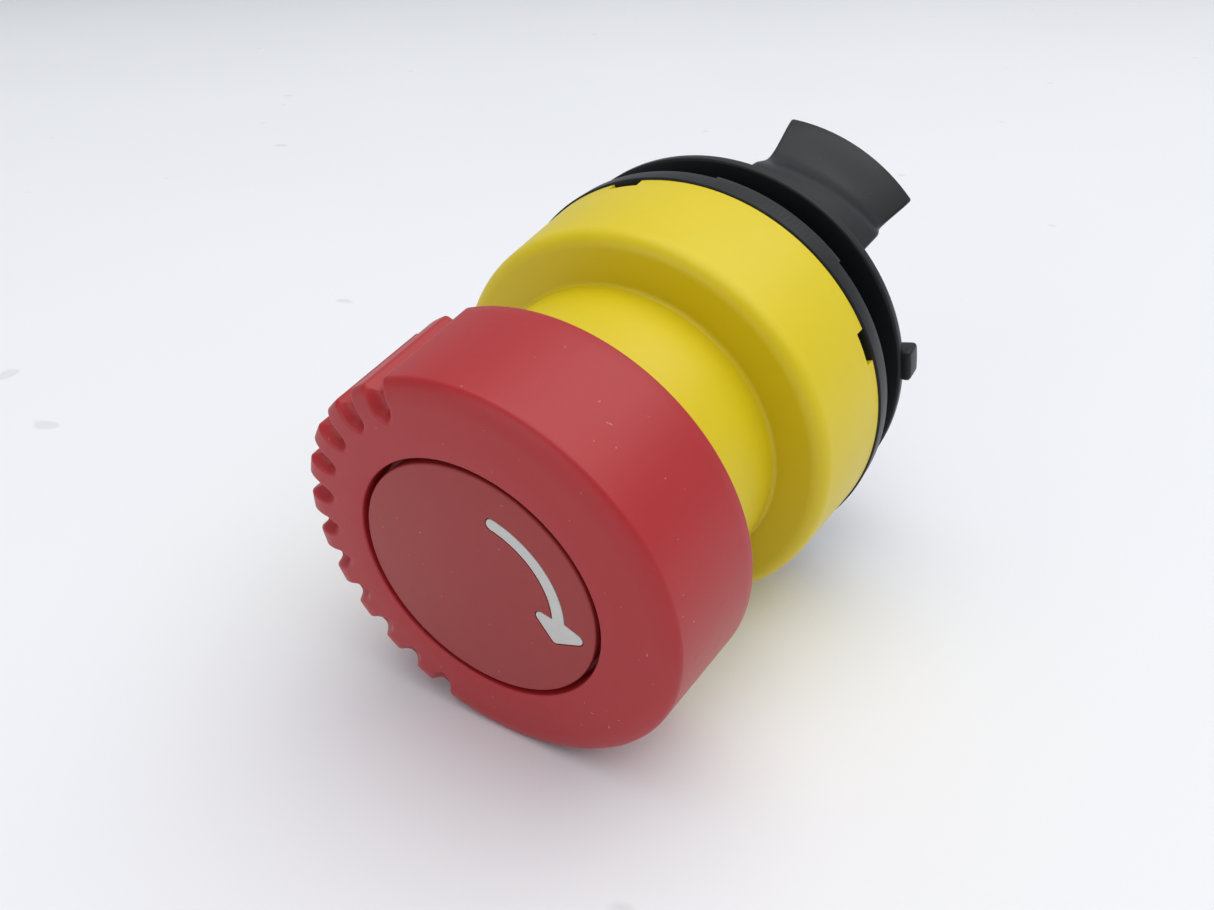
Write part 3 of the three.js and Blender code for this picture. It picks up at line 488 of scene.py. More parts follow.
def rounded(corners, steps=5):
    """Points of a closed outline with rounded corners. A corner is its two coordinates and its rounding."""
    points = []
    for i, (across, along, rounding) in enumerate(corners):
        corner = Vector((across, along))
        if rounding == 0:
            points.append(corner)
            continue
        back = (Vector(corners[i - 1][:2]) - corner).normalized()
        forth = (Vector(corners[(i + 1) % len(corners)][:2]) - corner).normalized()
        half = back.angle(forth) / 2
        centre = corner + (back + forth).normalized() * rounding / math.sin(half)
        start = corner + back * rounding / math.tan(half) - centre
        side = back.x * forth.y - back.y * forth.x
        swing = math.copysign(math.pi - 2 * half, side)
        for step in range(steps + 1):
            turn = swing * step / steps
            points.append(centre + Vector((
                start.x * math.cos(turn) + start.y * math.sin(turn),
                start.y * math.cos(turn) - start.x * math.sin(turn))))
    return points


def mesh_object(name, corners, faces):
    """A closed mesh object with merged corners, outward faces and smooth shading up to a sharp angle."""
    mesh = bpy.data.meshes.new(name)
    mesh.from_pydata([tuple(corner) for corner in corners], [], faces)
    shape = bmesh.new()
    shape.from_mesh(mesh)
    bmesh.ops.remove_doubles(shape, verts=shape.verts, dist=1e-7)
    bmesh.ops.recalc_face_normals(shape, faces=shape.faces)
    shape.to_mesh(mesh)
    shape.free()
    made = bpy.data.objects.new(name, mesh)
    bpy.context.scene.collection.objects.link(made)
    smooth(made)
    return made


def smooth(made, sharp=SHARP):
    """Smooth shading, except across edges that turn by more than the sharp angle."""
    made.data.shade_smooth()
    made.data.set_sharp_from_angle(angle=math.radians(sharp))


def loop_faces(columns, rows):
    """Quads of a tube that closes on itself both ways."""
    return [
        (i * rows + j, i * rows + (j + 1) % rows,
         (i + 1) % columns * rows + (j + 1) % rows, (i + 1) % columns * rows + j)
        for i in range(columns) for j in range(rows)
    ]


def spun(name, outline, turns):
    """A closed outline at every one of the turns. Its points begin with a radius and a station."""
    corners = [on_circle(point[0], point[1], turn) for turn in turns for point in outline]
    return mesh_object(name, corners, loop_faces(len(turns), len(outline)))


def turned(name, corners, steps=5):
    """A turned piece from its profile's corners, each a radius, a station and a rounding."""
    return spun(name, rounded(corners, steps), [2 * math.pi * i / COLUMNS for i in range(COLUMNS)])


def slab(name, across, along, place_of):
    """A closed plate of two grids joined round their edges. place_of(u, v, outer) gives a corner."""
    corners = [
        place_of(i / across, j / along, outer)
        for outer in (False, True) for j in range(along + 1) for i in range(across + 1)
    ]

    def at(i, j, outer):
        return (outer * (along + 1) + j) * (across + 1) + i

    faces = []
    for j in range(along):
        for i in range(across):
            for outer in (0, 1):
                faces.append((
                    at(i, j, outer), at(i + 1, j, outer), at(i + 1, j + 1, outer), at(i, j + 1, outer)))
    for j in (0, along):
        faces += [(at(i, j, 0), at(i + 1, j, 0), at(i + 1, j, 1), at(i, j, 1)) for i in range(across)]
    for i in (0, across):
        faces += [(at(i, j, 0), at(i, j + 1, 0), at(i, j + 1, 1), at(i, j, 1)) for j in range(along)]
    return mesh_object(name, corners, faces)


def eased_step(low, high, value):
    """0 under low, 1 over high, smooth between."""
    way = min(1.0, max(0.0, (value - low) / (high - low)))
    return way * way * (3 - 2 * way)


def sector(name, inner, outer, front, rear, start, end):
    """A block of a ring between two radii, two stations and two angles."""
    degrees_a_face = 1.5
    steps = max(2, round(math.degrees(end - start) / degrees_a_face))
    return slab(name, steps, 1, lambda u, v, far: on_circle(
        outer if far else inner, front + (rear - front) * v, start + (end - start) * u))


def arc_block(name, inner, outer, front, rear, middle, half):
    """A sector that spreads evenly to both sides of its middle."""
    return sector(name, inner, outer, front, rear, middle - half, middle + half)


def box_object(name, low, high):
    """A plain block between two corners."""
    return slab(name, 1, 1, lambda u, v, far: Vector((
        (low[0], high[0])[round(u)], (low[1], high[1])[round(v)], (low[2], high[2])[far])))


def settled(made, sharp=SHARP):
    """Turns an object's modifiers into its plain mesh."""
    graph = bpy.context.evaluated_depsgraph_get()
    mesh = bpy.data.meshes.new_from_object(made.evaluated_get(graph))
    made.modifiers.clear()
    made.data = mesh
    mesh.name = made.name
    smooth(made, sharp)
    return made


def eased(made, width, segments=3):
    """Rounds an object's edges that turn by more than 50 degrees."""
    bevel = made.modifiers.new("eased edges", "BEVEL")
    bevel.width = width
    bevel.segments = segments
    bevel.limit_method = "ANGLE"
    bevel.angle_limit = math.radians(50.0)
    return settled(made)


def combined(body, operation, *others):
    """Joins other objects to a body, or cuts them from it, and removes them."""
    for other in others:
        boolean = body.modifiers.new("combine", "BOOLEAN")
        boolean.operation = operation
        boolean.solver = "MANIFOLD"
        boolean.object = other
    settled(body)
    for other in others:
        bpy.data.objects.remove(other)
    return body


def finished(made, body, *nodes):
    """Gives a piece the finish of the CAD node it stands for, and its place in the frame."""
    slot = SLOT_OF_NODE[nodes[0]]
    made.data.materials.clear()
    made.data.materials.append(finish_of(slot))
    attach(made, body)
    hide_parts(*nodes)
    return made


# ---------------------------------------------------------------- geometry nodes

class PieceTree(Graph):
    """A Geometry Nodes tree with named inputs, used once or more and turned into plain meshes."""

    def __init__(self, name, inputs, takes_mesh):
        super().__init__(bpy.data.node_groups.new(name, "GeometryNodeTree"))
        face = self.tree.interface
        face.new_socket(name="Geometry", in_out="OUTPUT", socket_type="NodeSocketGeometry")
        if takes_mesh:
            face.new_socket(name="Geometry", in_out="INPUT", socket_type="NodeSocketGeometry")
        self.identifiers = {}
        for label, kind in inputs.items():
            socket = face.new_socket(name=label, in_out="INPUT", socket_type="NodeSocket" + kind)
            self.identifiers[label] = socket.identifier
        self.given = self.tree.nodes.new("NodeGroupInput")

    def value(self, label):
        return Socket(self, self.given.outputs[label])

    def end(self, geometry):
        """Ends the tree as plain geometry with the given material."""
        real = self.node("GeometryNodeRealizeInstances", None, {"Geometry": geometry})
        dressed = self.node("GeometryNodeSetMaterial", None, {
            "Geometry": real, "Material": self.value("Material")})
        self.node("NodeGroupOutput", None, {"Geometry": dressed})

    def apply(self, made, sharp=SHARP, **values):
        """Runs the tree on an object and leaves the result as its plain mesh."""
        modifier = made.modifiers.new(self.tree.name, "NODES")
        modifier.node_group = self.tree
        for label, value in values.items():
            modifier[self.identifiers[label.replace("_", " ")]] = value
        return settled(made, sharp)


def spring_tree():
    """Round wire wound about the Y axis, with its first and last turn closed."""
    tree = PieceTree("wound wire", {
        "Radius": "Float", "Wire": "Float", "Front": "Float", "Rear": "Float", "Turns": "Float",
        "Closed": "Float", "Steps": "Int", "Material": "Material"}, False)
    radius, wire, front, rear = (tree.value(label) for label in ("Radius", "Wire", "Front", "Rear"))
    turns, closed = tree.value("Turns"), tree.value("Closed")
    line = tree.node("GeometryNodeCurvePrimitiveLine")
    points = tree.node("GeometryNodeResampleCurve", None, {"Curve": line, "Count": tree.value("Steps")})
    way = tree.node("GeometryNodeSplineParameter", output="Factor")
    wound = way * turns
    open_turns = turns - 2 * closed
    middle = ((wound - closed) / open_turns).at_least(0.0).at_most(1.0)
    ends = wound.at_most(closed) + (wound - (turns - closed)).at_least(0.0)
    rise = rear - front - wire
    station = front + wire * 0.5 + ends * wire + middle * (rise - closed * wire * 2)
    turn = wound * (2 * math.pi)
    spot = tree.node("ShaderNodeCombineXYZ", None, {
        "X": turn.sine() * radius, "Y": station, "Z": turn.cosine() * radius})
    helix = tree.node("GeometryNodeSetPosition", None, {"Geometry": points, "Position": spot})
    sides = 12
    section = tree.node("GeometryNodeCurvePrimitiveCircle", None, {"Resolution": sides, "Radius": wire * 0.5})
    tree.end(tree.node("GeometryNodeCurveToMesh", None, {
        "Curve": helix, "Profile Curve": section, "Fill Caps": True}))
    return tree


CAP_ATTRIBUTES = ("way", "lean", "back_share")
SCOOP_ROUNDNESS = 1.3           # power of the scoop's section: more is a narrower, softer groove
SCOOP_CURL = 0.6                # how much sooner a scoop's middle ends on the face than its sides
SCOOP_AT_EDGE = 0.85            # share of the full depth that a scoop has at the face's edge
SCOOP_EDGE_WAY = 0.9            # the way at which it has that depth
ROW_FADE = (0.75, 1.15)         # where the set-back fades out past the last scoop, in half widths


def scoop_tree():
    """Sinks finger scoops into a cap whose corners carry the attributes that cap_outside explains."""
    tree = PieceTree("finger scoops", {
        "Scoops": "Int", "Pitch": "Float", "Middle": "Float", "Depth": "Float", "Half Width": "Float",
        "Set-back": "Float", "Material": "Material"}, True)
    scoops, pitch, middle = (tree.value(label) for label in ("Scoops", "Pitch", "Middle"))
    spot = tree.node("GeometryNodeInputPosition")
    x, z = (tree.node("ShaderNodeSeparateXYZ", None, {"Vector": spot}, axis) for axis in ("X", "Z"))
    turn = x.arctangent(z)
    way, lean, back_share = (
        tree.node("GeometryNodeInputNamedAttribute", {"data_type": "FLOAT"}, {"Name": label}, "Attribute")
        for label in CAP_ATTRIBUTES)
    place_in_row = (turn - middle) / pitch
    last = (scoops - 1) * 0.5
    nearest = (place_in_row + last).rounded().at_least(0.0).at_most(scoops - 1) - last
    half_width = tree.value("Half Width")
    across = (abs(place_in_row - nearest) / half_width).at_most(1.0)
    section = (1 - across * across) ** SCOOP_ROUNDNESS
    on_face = tree.between(way - across * across * SCOOP_CURL, 0.0, SCOOP_EDGE_WAY)
    on_edge = tree.between(way, 1.0, 2.0)
    sink = section * (on_face * SCOOP_AT_EDGE + on_edge * (1 - SCOOP_AT_EDGE)) * tree.value("Depth")
    fade_from, fade_to = (last + half_width * widths for widths in ROW_FADE)
    inside = 1 - tree.between(abs(place_in_row), fade_from, fade_to)
    back = inside * back_share * tree.value("Set-back")
    inward = (sink * lean.cosine() + back) * -1.0
    shift = tree.node("ShaderNodeCombineXYZ", None, {
        "X": turn.sine() * inward, "Y": sink * lean.sine() * -1.0, "Z": turn.cosine() * inward})
    tree.end(tree.node("GeometryNodeSetPosition", None, {
        "Geometry": tree.value("Geometry"), "Offset": shift}))
    return tree


# ---------------------------------------------------------------- pieces

SCOOP_COLUMNS, SMOOTH_COLUMNS = 26, 110     # faces across one scoop's pitch, and round the smooth side
FACE_ROWS, EDGE_ROWS, SIDE_ROWS, RIM_ROWS = 14, 14, 10, 4


def cap_turns(sizes):
    """Angles round the cap, close together where the scoops are."""
    half_arc = sizes.scoop_pitch * (sizes.scoops + 1) / 2
    scooped = (sizes.scoops + 1) * SCOOP_COLUMNS
    start, middle = sizes.scoop_middle - half_arc, sizes.scoop_middle + half_arc
    rest = 2 * math.pi - 2 * half_arc
    return (
        [start + 2 * half_arc * i / scooped for i in range(scooped)]
        + [middle + rest * i / SMOOTH_COLUMNS for i in range(SMOOTH_COLUMNS)])


def evenly(start, end, steps):
    """Values from start to end, both of them included."""
    return [start + (end - start) * i / steps for i in range(steps + 1)]


def cap_outside(sizes):
    """The cap's outer line, from the scoops' ends on the face to the rear rim.

    Each row is a radius, a station, a way, a lean and a share of the set-back. The way is 0 at the scoops'
    ends, 1 at the face's edge and 2 on the side. The lean is the surface's angle from facing outwards.
    """
    forward = -math.pi / 2
    rows = []
    for way in evenly(0.0, 1.0, FACE_ROWS):
        radius = sizes.scoop_end + (sizes.face_radius - sizes.scoop_end) * way
        rows.append((radius, CAP_FRONT, way, forward, 0.0))
    for lean in evenly(forward, 0.0, EDGE_ROWS)[1:]:
        radius = sizes.face_radius + (sizes.front_radius - sizes.face_radius) * math.cos(lean)
        station = CAP_FRONT + sizes.edge_depth * (1 + math.sin(lean))
        rows.append((radius, station, 2 - lean / forward, lean, math.cos(lean)))
    side_front, side_rear = CAP_FRONT + sizes.edge_depth, CAP_REAR - sizes.rim
    for way in evenly(0.0, 1.0, SIDE_ROWS)[1:]:
        radius = sizes.front_radius + (sizes.radius - sizes.front_radius) * way
        rows.append((radius, side_front + (side_rear - side_front) * way, 2.0, 0.0, 1.0))
    for turn in evenly(0.0, math.pi / 2, RIM_ROWS)[1:]:
        radius = sizes.radius - sizes.rim * (1 - math.cos(turn))
        rows.append((radius, side_rear + sizes.rim * math.sin(turn), 2.0, 0.0, 1.0))
    return rows


def cap_inside(sizes):
    """The rest of the cap's line: inside the skirt, round the boss and back through the disc's recess."""
    ceiling = CAP_FRONT + sizes.front_wall
    floor = CAP_FRONT + sizes.recess_depth
    boss_end = ceiling + sizes.boss_length
    seat = floor + sizes.seat_depth
    skirt = sizes.radius - sizes.wall
    draft, edge = 0.2 * MM, 0.3 * MM
    rim_flat, face_flat = sizes.radius - 0.9 * MM, sizes.scoop_end - 0.6 * MM
    corners = [
        (rim_flat, CAP_REAR, 0), (skirt, CAP_REAR, edge),
        (skirt - draft, ceiling, 1.0 * MM), (sizes.boss_radius, ceiling, 0.8 * MM),
        (sizes.boss_radius, boss_end, edge), (sizes.hole_radius, boss_end, 0),
        (sizes.hole_radius, seat, 0), (sizes.seat_radius, seat, 0), (sizes.seat_radius, floor, 0),
        (sizes.recess_radius, floor, edge), (sizes.recess_radius, CAP_FRONT, 0.18 * MM),
        (face_flat, CAP_FRONT, 0),
    ]
    return [(point.x, point.y, 0.0, 0.0, 0.0) for point in rounded(corners, 4)]


def make_cap(sizes):
    """The mushroom cap: a turned shell whose left side is then scooped."""
    loop = cap_outside(sizes) + cap_inside(sizes)
    turns = cap_turns(sizes)
    cap = spun("cap_shell", loop, turns)
    for column, label in enumerate(CAP_ATTRIBUTES, 2):
        attribute = cap.data.attributes.new(label, "FLOAT", "POINT")
        attribute.data.foreach_set("value", [row[column] for _ in turns for row in loop])
    scoop_tree().apply(
        cap, Scoops=sizes.scoops, Pitch=sizes.scoop_pitch, Middle=sizes.scoop_middle,
        Depth=sizes.scoop_depth, Half_Width=sizes.scoop_half_width, **{"Set-back": sizes.set_back},
        Material=finish_of("cap_red"))
    for label in CAP_ATTRIBUTES:
        cap.data.attributes.remove(cap.data.attributes[label])
    half = sizes.socket_half
    socket_floor = CAP_FRONT + sizes.recess_depth + sizes.seat_depth + sizes.socket_web
    boss_end = CAP_FRONT + sizes.front_wall + sizes.boss_length
    socket = box_object("socket", (-half, socket_floor, -half), (half, boss_end + OVERLAP, half))
    combined(cap, "DIFFERENCE", socket)
    finished(cap, "head", "mushroom_cap")


# The arrow head's corners: radius in millimetres, angle in degrees, and rounding in millimetres.
ARROW_HEAD = ((11.5, 100.0, 0.6), (8.3, 114.5, 0.35), (5.4, 90.5, 0.5))


def arrow_outline(sizes):
    """Points round the arrow, clockwise, with x to the right and y up as the user sees them."""
    def at(radius, turn):
        return Vector((radius * math.sin(turn), radius * math.cos(turn)))

    half = sizes.width / 2
    steps, end_steps = 24, 8
    outer, inner = [], []
    for way in evenly(0.0, 1.0, steps):
        turn = sizes.tail + (sizes.neck - sizes.tail) * way
        middle = sizes.tail_radius + (sizes.neck_radius - sizes.tail_radius) * way
        outer.append(at(middle + half, turn))
        inner.insert(0, at(middle - half, turn))
    centre = at(sizes.tail_radius, sizes.tail)
    backwards = -Vector((math.cos(sizes.tail), -math.sin(sizes.tail)))
    outwards = (outer[0] - centre).normalized()
    tail = [
        centre + half * (backwards * math.sin(swing) - outwards * math.cos(swing))
        for swing in evenly(0.0, math.pi, end_steps)[1:-1]
    ]
    head = [
        (*at(radius * MM, math.radians(degrees)), rounding * MM) for radius, degrees, rounding in ARROW_HEAD
    ]
    corners = [(*outer[-1], 0), *head, (*inner[0], 0)]
    return tail + outer[:-1] + rounded(corners, 6) + inner[1:]


def grown(outline, distance):
    """A clockwise outline moved outwards."""
    points = []
    for i, point in enumerate(outline):
        arriving = (point - outline[i - 1]).normalized()
        leaving = (outline[(i + 1) % len(outline)] - point).normalized()
        along = (arriving + leaving).normalized()
        points.append(point + Vector((-along.y, along.x)) * distance)
    return points


def prism(name, outline, front, rear):
    """A flat outline made thick along the push axis."""
    number = len(outline)
    corners = [Vector((point.x, station, point.y)) for station in (front, rear) for point in outline]
    faces = [tuple(range(number)), tuple(range(number, 2 * number))]
    faces += [(i, (i + 1) % number, number + (i + 1) % number, number + i) for i in range(number)]
    return mesh_object(name, corners, faces)


def make_face(sizes):
    """The disc let into the cap's face, and the arrow inlaid in it."""
    outline = arrow_outline(sizes)
    disc = turned("face_plate", [
        (0, DISC_FRONT, 0), (sizes.radius, DISC_FRONT, 0.22 * MM), (sizes.radius, DISC_REAR, 0.1 * MM),
        (0, DISC_REAR, 0)])
    floor = DISC_FRONT + sizes.height + sizes.gap
    pocket = prism("pocket", grown(outline, sizes.gap), DISC_FRONT - OVERLAP, floor)
    combined(disc, "DIFFERENCE", pocket)
    finished(disc, "head", "face_disc")

    arrow = prism("direction_arrow", outline, DISC_FRONT, DISC_FRONT + sizes.height)
    eased(arrow, 0.04 * MM, 2)
    finished(arrow, "head", "arrow_inlay")


NOTCH_DEGREES = (66.35, 165.15, 246.35, 345.15)     # middles of the collar's latch notches


def make_collar(sizes):
    """The yellow collar and its neck, with the latch notches in its rear edge."""
    face = COLLAR_REAR - sizes.depth
    neck_inner = sizes.neck_radius - sizes.neck_wall
    collar = turned("collar_shell", [
        (neck_inner, NECK_FRONT, 0.3 * MM), (sizes.neck_front_radius, NECK_FRONT, 0.4 * MM),
        (sizes.neck_radius, face, sizes.blend), (sizes.front_radius, face, sizes.edge),
        (sizes.rear_radius, COLLAR_REAR, 0.1 * MM), (sizes.inner_radius, COLLAR_REAR, 0.15 * MM),
        (sizes.inner_radius, face + sizes.wall, 0.4 * MM), (neck_inner, face + sizes.wall, 0.2 * MM)], 9)
    half = sizes.notch_width / 2 / sizes.rear_radius
    cutters = []
    for degrees in NOTCH_DEGREES:
        cutters.append(arc_block(
            "notch", sizes.inner_radius - OVERLAP, sizes.rear_radius + OVERLAP,
            COLLAR_REAR - sizes.notch_depth, COLLAR_REAR + OVERLAP, math.radians(degrees), half))
    combined(collar, "DIFFERENCE", *cutters)
    finished(collar, "housing", "collar")


STEP_DEGREES = ((7.5, 45.7), (187.5, 225.7))        # starts and ends of the flange's raised sectors
BAYONET_DEGREES = (90.0, 210.0, 330.0)              # middles of the bayonet lugs


def make_base(sizes, collar):
    """The base body: spigot, flange, barrel with its key, bayonet lugs and latch tongues."""
    flange_rear = GASKET_FRONT
    flange_front = COLLAR_REAR + sizes.seam
    chamber_floor = flange_rear - sizes.chamber
    body = turned("base_shell", [
        (sizes.spigot_inner, SPIGOT_FRONT, 0.2 * MM), (sizes.spigot_radius, SPIGOT_FRONT, 0.3 * MM),
        (sizes.spigot_radius, flange_front, 0), (sizes.flange_radius, flange_front, 0.2 * MM),
        (sizes.flange_radius, flange_rear, 0.3 * MM), (sizes.barrel_radius, flange_rear, 0.1 * MM),
        (sizes.barrel_radius, BARREL_REAR, 0.4 * MM), (sizes.barrel_inner, BARREL_REAR, 0.3 * MM),
        (sizes.barrel_inner, chamber_floor, 0.2 * MM), (sizes.spigot_inner, chamber_floor, 0.2 * MM)])
    step_root, block_root, tongue_under, small_edge = 0.8 * MM, 0.5 * MM, 0.9 * MM, 0.12 * MM
    added = []
    for start, end in STEP_DEGREES:
        step = sector(
            "step", sizes.gasket_radius + sizes.gap, sizes.flange_radius, flange_rear - step_root,
            flange_rear + sizes.flange_step, math.radians(start), math.radians(end))
        added.append(eased(step, small_edge, 2))
    half = (collar.notch_width / 2 - sizes.gap) / collar.rear_radius
    tongue_front = COLLAR_REAR - collar.notch_depth + sizes.gap
    for degrees in NOTCH_DEGREES:
        tongue = arc_block(
            "tongue", sizes.spigot_radius - OVERLAP, collar.rear_radius - tongue_under, tongue_front,
            flange_front + block_root, math.radians(degrees), half)
        added.append(eased(tongue, small_edge, 2))
    key = box_object(
        "key", (-sizes.key_width / 2, flange_rear - block_root, sizes.barrel_inner + OVERLAP),
        (sizes.key_width / 2, RING_FRONT - sizes.gap, sizes.barrel_radius + sizes.key_height))
    added.append(eased(key, 0.25 * MM))
    lug_front = RING_FRONT + bpy.context.scene.stop_ring.hub_length + sizes.gap
    for degrees in BAYONET_DEGREES:
        lug = arc_block(
            "lug", sizes.barrel_radius - OVERLAP, sizes.barrel_radius + sizes.bayonet_height, lug_front,
            lug_front + sizes.bayonet_length, math.radians(degrees), sizes.bayonet_arc / 2)
        added.append(eased(lug, 0.3 * MM))
    combined(body, "UNION", *added)
    finished(body, "housing", "base_body")

    bore = sizes.barrel_radius + sizes.key_height + sizes.gap
    gasket = turned("gasket_ring", [
        (bore, GASKET_FRONT, 0.15 * MM), (sizes.gasket_radius, GASKET_FRONT, 0.2 * MM),
        (sizes.gasket_radius, GASKET_REAR, 0.25 * MM), (bore, GASKET_REAR, 0.25 * MM)])
    finished(gasket, "housing", "panel_gasket")


def make_travel_pieces(sizes, base):
    """The plunger, its push pad, and the ring that the return spring sits on."""
    front, rear = stations("plunger")
    pad_front, pad_rear = stations("push_pad")
    clip_room = 0.6 * MM
    clip_front = stations("spindle_clip")[0]
    clip_radius = reach("spindle_clip") + clip_room
    flange_rear = front + sizes.flange_thickness
    seat = sizes.pad_radius + base.gap
    plunger = turned("plunger_tube", [
        (sizes.bore, front, 0.1 * MM), (sizes.plunger_flange, front, 0.25 * MM),
        (sizes.plunger_flange, flange_rear, 0.25 * MM), (sizes.plunger_radius, flange_rear, 0.4 * MM),
        (sizes.plunger_radius, rear, 0.35 * MM), (seat, rear, 0.25 * MM),
        (seat, pad_front - base.gap, 0.15 * MM), (clip_radius, pad_front - base.gap, 0.1 * MM),
        (clip_radius, clip_front - base.gap, 0.1 * MM),
        (sizes.bore, clip_front - base.gap, 0.1 * MM)])
    finished(plunger, "carriage", "plunger")

    pad = turned("pad_disc", [
        (0, pad_front, 0), (sizes.pad_radius, pad_front, 0.15 * MM), (sizes.pad_radius, rear, 0.15 * MM),
        (sizes.pad_flat, pad_rear, 0.5 * MM), (0, pad_rear, 0)])
    finished(pad, "carriage", "push_pad")

    seat_front, seat_rear = stations("spring_retainer")
    outer = reach("spring_retainer")
    extra_room, taper = 0.2 * MM, 0.8 * MM
    bore = sizes.plunger_radius + base.gap + extra_room
    retainer = turned("retainer_ring", [
        (bore, seat_front, 0.2 * MM), (outer, seat_front, 0.2 * MM), (outer, seat_rear, 0.25 * MM),
        (bore + taper, seat_rear, 0.25 * MM)])
    finished(retainer, "housing", "spring_retainer")


STEPS_A_TURN = 40


def make_springs(sizes):
    """The four coil springs, wound by one tree."""
    tree = spring_tree()
    latch_spring = (sizes.latch_radius, sizes.latch_wire, 6.0, 1.0)
    # Object, node, body, middle line, wire, turns, and turns that lie closed at each end.
    wound = (
        ("return_coil", "return_spring", "housing", sizes.return_radius, sizes.return_wire, 7.0, 1.0),
        ("twist_coil", "twist_spring", "carriage", sizes.twist_radius, sizes.twist_wire, 9.0, 0.5),
        ("latch_coil_left", "latch_spring_left", "housing", *latch_spring),
        ("latch_coil_right", "latch_spring_right", "housing", *latch_spring),
    )
    for name, node, body, radius, wire, turns, closed in wound:
        low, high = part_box(node)
        along_x = node.startswith("latch")
        front, rear = (0.0, high.x - low.x) if along_x else (low.y, high.y)
        spring = bpy.data.objects.new(name, bpy.data.meshes.new(name))
        bpy.context.scene.collection.objects.link(spring)
        tree.apply(
            spring, 50.0, Radius=radius, Wire=wire, Front=front, Rear=rear, Turns=turns, Closed=closed,
            Steps=int(turns * STEPS_A_TURN), Material=finish_of("spring_steel"))
        if along_x:
            middle = (low + high) / 2
            spring.data.transform(
                Matrix.Translation((low.x, middle.y, middle.z)) @ Matrix.Rotation(-math.pi / 2, 4, "Z"))
        finished(spring, body, node)
        if name == "return_coil":
            shorten(spring)
        elif name == "latch_coil_left":
            shorten(spring)
        elif name == "latch_coil_right":
            shorten(spring)


def shorten(spring):
    """Gives a spring a mesh of its own."""
    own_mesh(spring)


GRIP_COLUMNS, GRIP_ROWS = 36, 30
GRIP_FLARE = 1.6                # power by which a grip's spread grows towards its end
CREST_ENDS = (0.15, 0.35)       # shares of a grip's length where its crest ends, at its two sides
DIP_LIES = (0.55, 0.65)         # shares of its length where its hollow is deepest, at its two sides


def between_ends(ends, way):
    """The value a share of the way from the first to the second."""
    return ends[0] + (ends[1] - ends[0]) * way


def saddle(sizes, start, end, front):
    """The shape of a finger grip: u runs across it, v runs from its root to its end."""
    root = sizes.grip_radius - sizes.grip_rise

    def grip(u, v, outer):
        spread = sizes.grip_spread * v ** GRIP_FLARE
        turn = start - spread + (end - start + spread) * u
        crest, dip = between_ends(CREST_ENDS, u), between_ends(DIP_LIES, u)
        hollow = sizes.grip_waist * eased_step(crest, dip, v) * (1 - eased_step(dip, 1.0, v))
        radius = root + sizes.grip_rise * v - hollow - (0 if outer else sizes.grip_thickness)
        return on_circle(radius, front + (GRIP_REAR - front) * v, turn)

    return grip


def make_ring(sizes, base):
    """The clamping ring: rim, hub, two saddle-shaped finger grips with a slit at the root, and two lugs."""
    rim_rear = RING_FRONT + sizes.rim
    hub_rear = RING_FRONT + sizes.hub_length
    hub_radius = sizes.bore + sizes.hub_wall
    fillet = 0.3 * MM
    ring = turned("clamp_ring", [
        (sizes.bore, RING_FRONT, 0.15 * MM), (sizes.radius, RING_FRONT, 0.3 * MM),
        (sizes.radius, rim_rear, 0.35 * MM), (hub_radius, rim_rear + fillet, 0.5 * MM),
        (hub_radius, hub_rear, 0.35 * MM), (sizes.bore, hub_rear, 0.2 * MM)])
    grip_front = RING_FRONT + 0.5 * MM
    web_inset, web_drop, web_length = math.radians(8.0), 2.4 * MM, 5.5 * MM
    slit_depth, lug_depth, lug_sunk = 2 * MM, 4 * MM, 0.8 * MM
    added, cut = [], []
    for half_turn in (0.0, math.pi):
        start, end = sizes.grip_from + half_turn, sizes.grip_to + half_turn
        shape = saddle(sizes, start, end, grip_front)
        added.append(eased(slab("grip", GRIP_COLUMNS, GRIP_ROWS, shape), 0.28 * MM))
        added.append(sector(
            "web", sizes.bore + OVERLAP, sizes.grip_radius - web_drop, grip_front, RING_FRONT + web_length,
            start + web_inset, end - web_inset))
        cut.append(sector(
            "slit", sizes.grip_radius - slit_depth, sizes.radius + OVERLAP, rim_rear,
            rim_rear + sizes.slit_width, start + sizes.slit_from, start + sizes.slit_to))
        lug = arc_block(
            "lug", sizes.radius - lug_depth, sizes.lug_radius, rim_rear - lug_sunk,
            rim_rear + sizes.lug_length, sizes.lug_angle + half_turn, sizes.lug_arc / 2)
        added.append(eased(lug, 0.65 * MM, 4))
    combined(ring, "UNION", *added)
    play = math.radians(2.0)
    for degrees in BAYONET_DEGREES:
        cut.append(arc_block(
            "room", sizes.bore - OVERLAP, base.barrel_radius + base.bayonet_height + base.gap,
            RING_FRONT - OVERLAP, hub_rear + OVERLAP, math.radians(degrees) + sizes.turn,
            base.bayonet_arc / 2 + play))
    combined(ring, "DIFFERENCE", *cut)
    finished(ring, "ring", "mounting_ring")


# ---------------------------------------------------------------- stage

def floor_frame(base):
    """A point of the table and its tilt: the head lies on the cap's rear rim and the base's flange."""
    cap_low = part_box("mushroom_cap")[0].z
    flange_front = GASKET_FRONT - base.flange_thickness + base.gap
    slope = (-base.flange_radius - cap_low) / (flange_front - CAP_REAR)
    return Vector((0, CAP_REAR, cap_low)), math.atan(slope)


